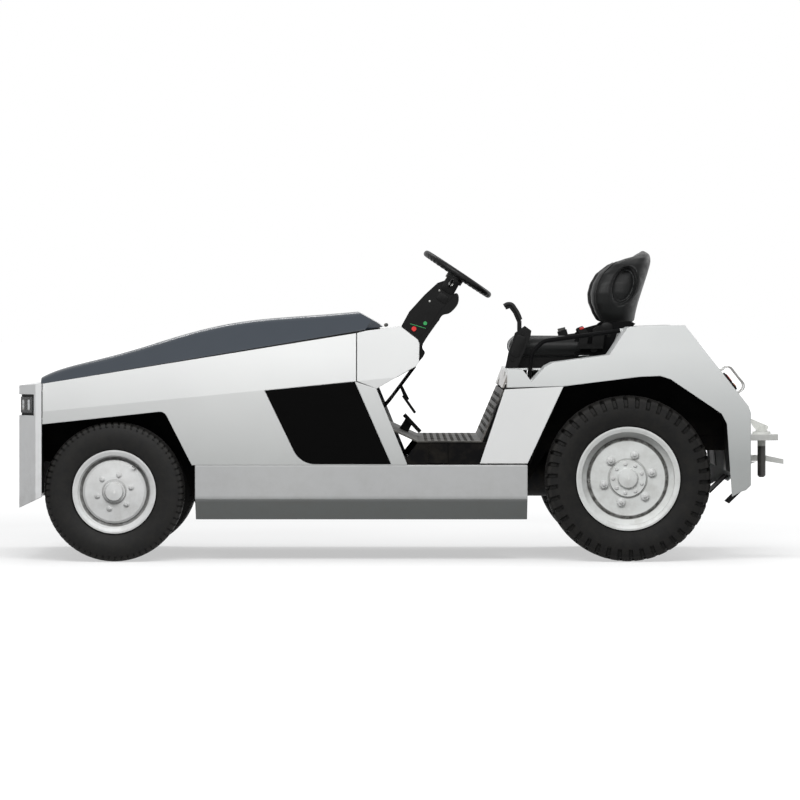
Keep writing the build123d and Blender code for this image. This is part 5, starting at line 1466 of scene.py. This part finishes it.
@dataclass(frozen=True)
class Steering:
    """The steering wheel's grip and horn pad, and the column's stalk, covers, key switch and screws."""

    hub: tuple[float, float, float] = (0.2345, 0.0, 1.303)
    lean: float = 56.2
    radius: float = 0.171
    grip: float = 0.0152
    scallops: int = 40
    collar_down: float = 0.062
    flank: float = 0.044
    strip_line: tuple[tuple[float, float], ...] = ((0.014, 1.071), (0.050, 1.0605), (0.086, 1.050))
    strip_radius: float = 0.0022
    screw_spots: tuple[tuple[float, float], ...] = ((0.1045, 1.176), (0.150, 1.226))
    cover_half: float = 0.041
    cover_edge: tuple[tuple[float, float], ...] = (
        (0.054, 0.893), (0.080, 0.930), (0.068, 0.968), (0.126, 1.060), (0.161, 1.113), (0.202, 1.125),
        (0.234, 1.160), (0.240, 1.196), (0.230, 1.214), (0.206, 1.206))

    @property
    def axis(self) -> Array:
        """The column's direction, up towards the driver."""
        a = math.radians(self.lean)
        return np.array([math.cos(a), 0.0, math.sin(a)])

    def rim(self) -> bpy.types.Object:
        """The moulded grip: a torus whose tube is scalloped by a cosine on its under side.

        Tube radius = grip * (1 + 0.1 * u * (0.5 * cos(n a) - 0.2)) - 0.4 mm * (1 - u), with u as a smooth
        step of the tube's own angle, 1 on the under side.

        Returns:
            The grip.
        """
        n = self.axis
        u = np.array([0.0, 1.0, 0.0])
        v = np.cross(n, u)
        a = np.linspace(0, 2 * math.pi, 480, endpoint=False)[:, None]
        b = np.linspace(0, 2 * math.pi, 28, endpoint=False)[None]
        under = smooth_step(-np.sin(b), -0.2, 0.8)
        tube = self.grip * (1 + 0.10 * under * (np.cos(self.scallops * a) * 0.5 - 0.2)) - 0.0004 * (1 - under)
        reach = self.radius + tube * np.cos(b)
        lift = tube * np.sin(b)
        ring = np.cos(a)[..., None] * u + np.sin(a)[..., None] * v
        points = np.array(self.hub) + reach[..., None] * ring + lift[..., None] * n
        faces = grid_faces(480, 28, True, True)
        made = make_piece("steering_wheel_grip", points, faces, GRIP_PLASTIC)
        return place(made, "steering_wheel")

    def boss(self) -> bpy.types.Object:
        """The horn pad: a dished disc with a rounded rim on the hub."""
        foot = np.array(self.hub) - self.axis * 0.004
        profile = np.array([[0.046, -0.012], [0.048, -0.004], [0.048, 0.006], [0.045, 0.0105],
                            [0.038, 0.0125], [0.030, 0.0115], [0.026, 0.0095], [0.024, 0.0105],
                            [0.010, 0.0115]])
        pad = turned(profile, foot, self.axis, 56)
        return assemble("horn_pad", [pad], TRIM_PLASTIC, "steering_wheel")

    def stalk(self) -> bpy.types.Object:
        """The drive lever under the wheel: a thin rod bent by a smooth curve, with a swollen plastic end."""
        root = np.array(self.hub) - self.axis * 0.075 + np.array([0.0, -0.028, 0.0])
        path = curve_through(np.array([root, root + [0.004, -0.035, 0.006], root + [0.012, -0.080, 0.022],
                                       root + [0.018, -0.118, 0.036]]), 20)
        rod = swept(path[:13], circle(0.0038, 12))
        knob_path = path[11:]
        steps = np.linspace(0, 1, len(knob_path))
        knob = np.stack([0.0075 * np.sqrt(np.maximum(1 - (2 * steps - 1) ** 4, 0.06)),
                         steps * np.linalg.norm(knob_path[-1] - knob_path[0])], 1)
        parts = [rod, turned(knob, knob_path[0], knob_path[-1] - knob_path[0], 20)]
        return assemble("drive_stalk", parts, TRIM_PLASTIC)

    def strip(self) -> bpy.types.Object:
        """The thin green line across each flank of the shroud, between the switches: a half-sunk bead."""
        parts = []
        for side in Side:
            path = np.array([[x, side.value * (self.flank + 0.0002), z] for x, z in self.strip_line])
            parts.append(swept(curve_through(path, 9), circle(self.strip_radius, 8)))
        return assemble("shroud_strip", parts, GREEN_STRIP)

    def collar(self) -> None:
        """The shroud's clamp cover on each flank, and the key switch with its key in the left one."""
        foot = np.array(self.hub) - self.axis * self.collar_down
        parts = []
        for side in Side:
            out = np.array([0.0, side.value, 0.0])
            across = np.cross(self.axis, out)
            centre = foot + out * 0.0435
            parts.append(crowned(centre, self.axis, -across, (0.038, 0.034), 0.006, 0.004, 0.45))
            lower = centre - self.axis * 0.070 + across * 0.004
            parts.append(crowned(lower, self.axis, -across, (0.020, 0.026), 0.003, 0.002, 0.4))
        assemble("shroud_covers", parts, TRIM_PLASTIC)
        left = np.array([0.0, -1.0, 0.0])
        seat = foot + left * 0.0515 + self.axis * 0.006
        ring = np.array([[0.0115, -0.001], [0.0115, 0.003], [0.0100, 0.0045], [0.0075, 0.0040],
                         [0.0070, 0.0025]])
        blade = slab(np.array([[-0.001, -0.009], [0.001, -0.009], [0.001, 0.009], [-0.001, 0.009]])
                     + [seat[0], seat[2]], seat[1] - 0.016, seat[1] - 0.002, 0.0004)
        assemble("key_switch", [turned(ring, seat, left, 32), blade], BRIGHT_STEEL)

    def rear_cover(self) -> bpy.types.Object:
        """The shroud's rear cover: a swell over the tilt gear, and below it the boot behind the cowl.

        Its outline is a smooth curve through the corners of swell and boot, closed inside the shroud.

        Returns:
            The cover.
        """
        edge = curve_through(np.array([[x, 0.0, z] for x, z in self.cover_edge]), 40)
        outline = np.vstack([edge[:, [0, 2]], [[0.110, 1.100], [0.030, 0.990], [0.030, 0.905]]])
        cover = slab(outline, -self.cover_half, self.cover_half, 0.006)
        return assemble("shroud_rear_cover", [cover], TRIM_PLASTIC)

    def screws(self) -> bpy.types.Object:
        """Domed screws of the shroud's two halves, on its left and right faces."""
        parts = []
        for side in Side:
            spots = [np.array([x, side.value * self.flank, z]) for x, z in self.screw_spots]
            parts.append(dome_heads(spots, [np.array([0, side.value, 0.0])] * 2, 0.006, 0.0025))
        return assemble("shroud_screws", parts, BRIGHT_STEEL)

    def build(self) -> None:
        """Grip, pad, lever, strip, covers and screws, then the carried-over nodes' finishes."""
        self.rim()
        self.boss()
        self.stalk()
        self.strip()
        self.collar()
        self.rear_cover()
        self.screws()
        dress({"steering_column": TRIM_PLASTIC, "steering_wheel": GRIP_PLASTIC,
               "column_switches": SWITCH_CAPS, "pedals": TRIM_PLASTIC})


# Footwell


@dataclass(frozen=True)
class Footwell:
    """Tread-plate lozenges on floor and riser, and ribbed matting on the sills."""

    pitch: float = 0.030
    lozenge: tuple[float, float, float] = (0.0115, 0.0042, 0.0016)
    floor_front: float = FRONT_AXLE[0] + 1.372
    floor_rear: float = REAR_AXLE[0] - 0.668
    floor_top: float = 0.545
    riser_foot: float = REAR_AXLE[0] - 0.6635
    riser_top: tuple[float, float] = (REAR_AXLE[0] - 0.5645, 0.775)
    edge_play: float = 0.015
    mat_span: tuple[float, float] = (-0.042, 0.372)
    mat_lines: tuple[float, ...] = (0.596, 0.598, 0.690, 0.692)
    rib_pitch: float = 0.008
    rib_rise: float = 0.0009
    mat_gauge: float = 0.0022

    def lozenges(self, origin: Array, along: Array, across: Array, size: tuple[float, float]
                 ) -> tuple[Array, list[list[int]]]:
        """Rolled lozenges over a rectangle, each at 45 degrees to the rows and square to its neighbours.

        Each is a six-sided foot with a smaller, raised top. Places are origin + i * pitch * along
        + j * pitch * across, all as one array.

        Args:
            origin: the rectangle's corner.
            along: unit direction of the rows.
            across: unit direction across the rows.
            size: the rectangle's length and width.

        Returns:
            Points and faces.
        """
        normal = np.cross(along, across)
        half, wide, tall = self.lozenge
        count = [int((s - 0.012) / self.pitch) for s in size]
        i, j = np.meshgrid(np.arange(count[0]), np.arange(count[1]), indexing="ij")
        i, j = i.ravel(), j.ravel()
        spot_a = (size[0] - (count[0] - 1) * self.pitch) / 2 + i * self.pitch
        spot_b = (size[1] - (count[1] - 1) * self.pitch) / 2 + j * self.pitch
        foot = np.array([[half, 0], [half * 0.35, wide], [-half * 0.35, wide], [-half, 0],
                         [-half * 0.35, -wide], [half * 0.35, -wide]])
        shape = np.concatenate([np.c_[foot, np.full(6, -0.0003)],
                                np.c_[foot * [0.72, 0.55], np.full(6, tall)]])
        turn = np.where((i + j) % 2 == 0, math.pi / 4, -math.pi / 4)
        c, s = np.cos(turn)[:, None], np.sin(turn)[:, None]
        a = spot_a[:, None] + shape[None, :, 0] * c - shape[None, :, 1] * s
        b = spot_b[:, None] + shape[None, :, 0] * s + shape[None, :, 1] * c
        points = (origin + a[..., None] * along + b[..., None] * across + shape[None, :, 2, None] * normal)
        one = [[k, (k + 1) % 6, 6 + (k + 1) % 6, 6 + k] for k in range(6)] + [[6, 7, 8, 9, 10, 11],
                                                                                [5, 4, 3, 2, 1, 0]]
        faces = [[k + 12 * n for k in f] for n in range(len(i)) for f in one]
        return points.reshape(-1, 3), faces

    def plate(self) -> bpy.types.Object:
        """The lozenges of the level floor and of the sloping riser behind it."""
        low, high = (np.array(c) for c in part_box("floor"))
        width = high[1] - low[1] - 2 * self.edge_play
        across = np.array([0, 1.0, 0])
        flat = self.lozenges(np.array([self.floor_front, -width / 2, self.floor_top]),
                             np.array([1.0, 0, 0]), across, (self.floor_rear - self.floor_front, width))
        foot = np.array([self.riser_foot, 0, self.floor_top])
        top = np.array([self.riser_top[0], 0, self.riser_top[1]])
        run = top - foot
        reach = float(np.linalg.norm(run))
        run /= reach
        slope = self.lozenges(foot + run * 0.012 - [0, width / 2, 0], run, across, (reach - 0.02, width))
        return assemble("tread_lozenges", [flat, slope], TREAD_PLATE)

    def matting(self) -> None:
        """Ribbed step matting on each sill: a strip whose top is a cosine along it, its hollows cut off."""
        sill_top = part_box("sills")[1][2]
        for side in Side:
            x = np.linspace(*self.mat_span, 311)
            wave = np.cos((x - self.mat_span[0]) / self.rib_pitch * 2 * math.pi)
            ribs = np.maximum(wave, -0.2) * self.rib_rise + self.mat_gauge
            ribs[[0, -1]] = 0.0
            y = np.array(self.mat_lines) * side.value
            top = np.stack([np.stack([x, np.full_like(x, k), sill_top + ribs * share], 1)
                            for k, share in zip(y, (0.25, 1, 1, 0.25))], 1)
            foot = top.copy()
            foot[..., 2] = sill_top - 0.0004
            rows = np.concatenate([top, foot[:, ::-1]], 1)
            mat = rows, tube_faces(len(x), 8)
            assemble(f"step_mat_{side.word}", [mat], MAT_RUBBER)

    def build(self) -> None:
        """Lozenges and matting, and the finish of the plates round them."""
        self.plate()
        self.matting()
        dress({"floor": TREAD_PLATE, "firewall": CHASSIS_BLACK, "floor_aprons": CHASSIS_BLACK})


# Bodywork, lamps and hitch


@dataclass(frozen=True)
class Bodywork:
    """Bumper, side panels, bonnet, seat box, fenders and rear cover, with bolts, beads and hinges."""

    bumper_bolts: tuple[float, ...] = (-0.48, -0.16, 0.16, 0.48)
    bolt_rows: tuple[float, ...] = (0.300, 0.500)
    bead: float = 0.0045
    hinge: tuple[float, float] = (-0.098, 1.066)
    hinge_out: float = 0.42
    knuckle_pitch: float = 0.024

    def bolts(self) -> None:
        """Domed bolts in two rows on the nose."""
        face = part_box("front_bumper")[0][0]
        front = np.array([-1.0, 0, 0])
        spots = [np.array([face, y, z]) for y in self.bumper_bolts for z in self.bolt_rows]
        heads = dome_heads(spots, [front] * len(spots), 0.010, 0.0035)
        assemble("bumper_bolts", [heads], BUMPER_GREY)

    def beads(self) -> None:
        """The rolled top edge of each sill, a round bead from end to end, in the paler cowl enamel as a
        painted highlight.
        """
        low, high = (np.array(c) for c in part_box("sills"))
        xs = np.linspace(low[0] + 0.004, high[0] - 0.004, 12)
        height = np.full(12, high[2] - self.bead * 0.6)
        lines = [np.stack([xs, np.full(12, side.value * (HALF_WIDTH - self.bead)), height], 1)
                 for side in Side]
        parts = [swept(line, circle(self.bead, 16)) for line in lines]
        # The bead takes the paler cowl white instead of the sill's grey, as a painted highlight along the
        # sill's top edge.
        assemble("sill_beads_painted_highlight", parts, COWL_WHITE)

    def hinges(self) -> None:
        """The bonnet's two hinges under its rear edge: three knuckles on a pin, on the cowl."""
        roll = np.array([[0.0075, -0.0115], [0.0085, -0.0105], [0.0085, 0.0105], [0.0075, 0.0115]])
        pin = np.array([[0.0035, -0.038], [0.005, -0.037], [0.005, 0.037], [0.0035, 0.038]])
        across = np.array([0, 1.0, 0])
        parts = []
        for side in Side:
            middle = np.array([self.hinge[0], side.value * self.hinge_out, self.hinge[1]])
            parts += [turned(roll, middle + across * self.knuckle_pitch * k, across, 20) for k in (-1, 0, 1)]
            parts.append(turned(pin, middle, across, 14))
        assemble("bonnet_hinges", parts, BLUED_STEEL)

    def build(self) -> None:
        """Fasteners and beads, then the panels' own enamel."""
        self.bolts()
        self.beads()
        self.hinges()
        dress({"side_panel_left": BODY_WHITE, "side_panel_right": BODY_WHITE, "cowl": COWL_WHITE,
               "seat_box": SEAT_BOX_WHITE, "fenders": FENDER_WHITE, "rear_cover": FENDER_WHITE,
               "front_bumper": BUMPER_GREY, "sills": SILL_GREY, "hood": BONNET_BLUE, "hood_frame": MAT_RUBBER,
               "side_insets": INSET_FILM, "mud_flaps": FLAP_RUBBER, "frame": CHASSIS_BLACK,
               "outriggers": CHASSIS_BLACK, "battery_tray": CHASSIS_BLACK, "battery": BATTERY_CASE,
               "wheelhouses_front": CHASSIS_BLACK, "wheelhouses_rear": CHASSIS_BLACK})


@dataclass(frozen=True)
class Lamps:
    """Head and tail lamps with what shows through and round their lenses."""

    tail_face: tuple[float, float] = (1.4597, 0.8149)
    tail_out: float = 0.590
    slope: tuple[float, float] = (0.617, -0.787)
    bars: tuple[float, ...] = (-1.7290, -1.7050)
    bar_out: float = 0.668
    bar_height: float = 0.7065

    def tail_lenses(self) -> None:
        """A red and an amber lens, each a crowned pad, one above the other on each dark housing."""
        across = np.array([0.0, -1.0, 0.0])
        along = np.array([self.slope[0], 0.0, self.slope[1]])
        feet = [np.array([self.tail_face[0], side.value * self.tail_out, self.tail_face[1]]) for side in Side]
        lenses = (("red", RED_LENS, -0.014, 0.023), ("amber", AMBER_LENS, 0.026, 0.013))
        for name, finish, middle, half in lenses:
            parts = [crowned(foot + along * middle, across, along, (0.030, half), 0.003, 0.003, 0.35)
                     for foot in feet]
            assemble(f"tail_lens_{name}", parts, finish)

    def light_bars(self) -> None:
        """Two upright light bars on the flank of each headlamp, each a narrow crowned pad."""
        parts = []
        for side in Side:
            along = np.array([-float(side.value), 0.0, 0.0])
            feet = [np.array([x, side.value * self.bar_out, self.bar_height]) for x in self.bars]
            parts += [crowned(foot, np.array([0, 0, 1.0]), along, (0.024, 0.0045), 0.002, 0.002, 0.4, 28)
                      for foot in feet]
        assemble("headlamp_bars", parts, REFLECTOR)

    def build(self) -> None:
        """Lenses and bars, then the carried-over lamps' finishes."""
        self.tail_lenses()
        self.light_bars()
        dress({"headlamps": TRIM_PLASTIC, "headlamp_lenses": CLEAR_LENS, "tail_lamps": TRIM_PLASTIC,
               "lamp_guards": GUARD_STEEL})


@dataclass(frozen=True)
class Hitch:
    """The rear pin hitch."""

    def build(self) -> None:
        """The bracket's chipped enamel, and the pin's enamel with a painted shadow below its handle."""
        dress({"hitch_bracket": HITCH_GREY, "hitch_pin": PIN_PAINT})


# Studio


@dataclass(frozen=True)
class Studio:
    """A pale floor, soft lamps, an even world and the photograph's camera."""

    camera_x: float = -0.0335
    distance: float = 19.6
    eye_height: float = 1.089
    view_width: float = 3.728
    shift_down: float = 0.1
    key: float = 300.0
    top: float = 75.0
    rear: float = 60.0
    zenith: float = 0.56
    horizon: float = 0.28
    floor_radius: float = 400.0
    lift_span: tuple[float, float] = (3.4, 8.0)
    lift: tuple[float, float] = (0.52, 0.95)

    def camera(self) -> None:
        """A long lens on the vehicle's left, level, at eye height, shifted down to the wheels."""
        data = bpy.data.cameras.new("camera")
        data.sensor_width = 36
        data.lens = 36 * self.distance / self.view_width
        data.shift_y = -self.shift_down
        data.clip_end = 200
        made = bpy.data.objects.new("camera", data)
        made.location = (self.camera_x, -self.distance, self.eye_height)
        made.rotation_euler = (math.pi / 2, 0, 0)
        bpy.context.scene.collection.objects.link(made)
        bpy.context.scene.camera = made

    def lamp(self, name: str, spot: tuple[float, float, float], aim: tuple[float, float, float],
             size: tuple[float, float], power: float) -> None:
        """A softbox at a spot, turned to its aim.

        Args:
            name: its name.
            spot: where it stands.
            aim: the point it faces.
            size: its width and its height.
            power: its power in watts.
        """
        data = bpy.data.lights.new(name, "AREA")
        data.shape = "RECTANGLE"
        data.size, data.size_y = size
        data.energy = power
        made = bpy.data.objects.new(name, data)
        made.location = spot
        away = np.array(spot) - np.array(aim)
        flat = math.hypot(away[0], away[1])
        heading = math.atan2(away[0], -away[1]) if flat > 1e-6 else 0
        made.rotation_euler = (math.atan2(flat, away[2]), 0, heading)
        bpy.context.scene.collection.objects.link(made)

    def white_seen(self, tree: bpy.types.NodeTree) -> bpy.types.NodeSocket:
        """One for camera, glossy and transmission rays, which see the white backdrop, and else zero."""
        path = add_node(tree, "ShaderNodeLightPath")
        first = add_node(tree, "ShaderNodeMath", {0: path.outputs["Is Camera Ray"],
                                                  1: path.outputs["Is Transmission Ray"]},
                         operation="MAXIMUM")
        return add_node(tree, "ShaderNodeMath", {0: first.outputs[0], 1: path.outputs["Is Glossy Ray"]},
                        operation="MAXIMUM").outputs[0]

    def surround(self) -> None:
        """White to be seen and reflected, and for other light a sky that dims towards the horizon."""
        world = bpy.data.worlds.new("studio")
        bpy.context.scene.world = world
        world.use_nodes = True
        tree = world.node_tree
        tree.nodes.clear()
        way = add_node(tree, "ShaderNodeTexCoord").outputs["Generated"]
        rise = add_node(tree, "ShaderNodeSeparateXYZ", {"Vector": way}).outputs["Z"]
        dim = ramp(tree, rise, 0.0, 0.9, self.horizon, self.zenith)
        soft = add_node(tree, "ShaderNodeBackground", {"Color": linear("f6f7f8"), "Strength": dim})
        white = add_node(tree, "ShaderNodeBackground", {"Color": (1, 1, 1, 1), "Strength": 1.0})
        mix = add_node(tree, "ShaderNodeMixShader", {0: self.white_seen(tree), 1: soft.outputs[0],
                                                     2: white.outputs[0]})
        out = add_node(tree, "ShaderNodeOutputWorld")
        tree.links.new(mix.outputs[0], out.inputs[0])

    def floor(self) -> None:
        """A wide pale floor: white where no shadow falls, and dull to bounced light."""
        turn = np.linspace(0, 2 * math.pi, 96, endpoint=False)
        radius = self.floor_radius
        rim = np.stack([radius * np.cos(turn), radius * np.sin(turn), np.full(96, -0.001)], 1)
        mesh = bpy.data.meshes.new("floor_sheet")
        mesh.from_pydata(rim.tolist(), [], [list(range(96))])
        made = bpy.data.objects.new("floor_sheet", mesh)
        bpy.context.scene.collection.objects.link(made)
        material = bpy.data.materials.new("paper backdrop pale")
        material.use_nodes = True
        tree = material.node_tree
        tree.nodes.clear()
        where = add_node(tree, "ShaderNodeTexCoord").outputs["Object"]
        away = length(tree, where)
        lift_share = ramp(tree, away, *self.lift_span, *self.lift)
        pale = add_node(tree, "ShaderNodeBsdfDiffuse", {"Color": linear("bebebe")})
        lift = add_node(tree, "ShaderNodeEmission", {"Color": (1, 1, 1, 1), "Strength": lift_share})
        both = add_node(tree, "ShaderNodeAddShader", {0: pale.outputs[0], 1: lift.outputs[0]})
        dull = add_node(tree, "ShaderNodeBsdfDiffuse", {"Color": linear("6e6e6e")})
        mix = add_node(tree, "ShaderNodeMixShader", {0: self.white_seen(tree), 1: dull.outputs[0],
                                                     2: both.outputs[0]})
        out = add_node(tree, "ShaderNodeOutputMaterial")
        tree.links.new(mix.outputs[0], out.inputs[0])
        mesh.materials.append(material)

    def build(self) -> None:
        """Camera, world, floor and three lamps."""
        bpy.context.scene.view_settings.view_transform = "Standard"
        self.camera()
        self.surround()
        self.floor()
        self.lamp("key", (-0.4, -5.2, 4.0), (0, 0, 0.6), (5.0, 2.0), self.key)
        self.lamp("top", (0.0, 1.9, 5.0), (0, 0, 0.9), (5.0, 0.5), self.top)
        self.lamp("rear", (5.0, 3.4, 3.2), (0, 0, 0.6), (2.5, 2.5), self.rear)


def main() -> None:
    """Builds the studio and every sub-assembly in order."""
    logging.basicConfig(level=logging.INFO, format="%(message)s")
    Studio().build()
    RunningGear().build()
    DriverSeat().build()
    Steering().build()
    Footwell().build()
    Bodywork().build()
    Lamps().build()
    Hitch().build()


if __name__ == "__main__":
    main()
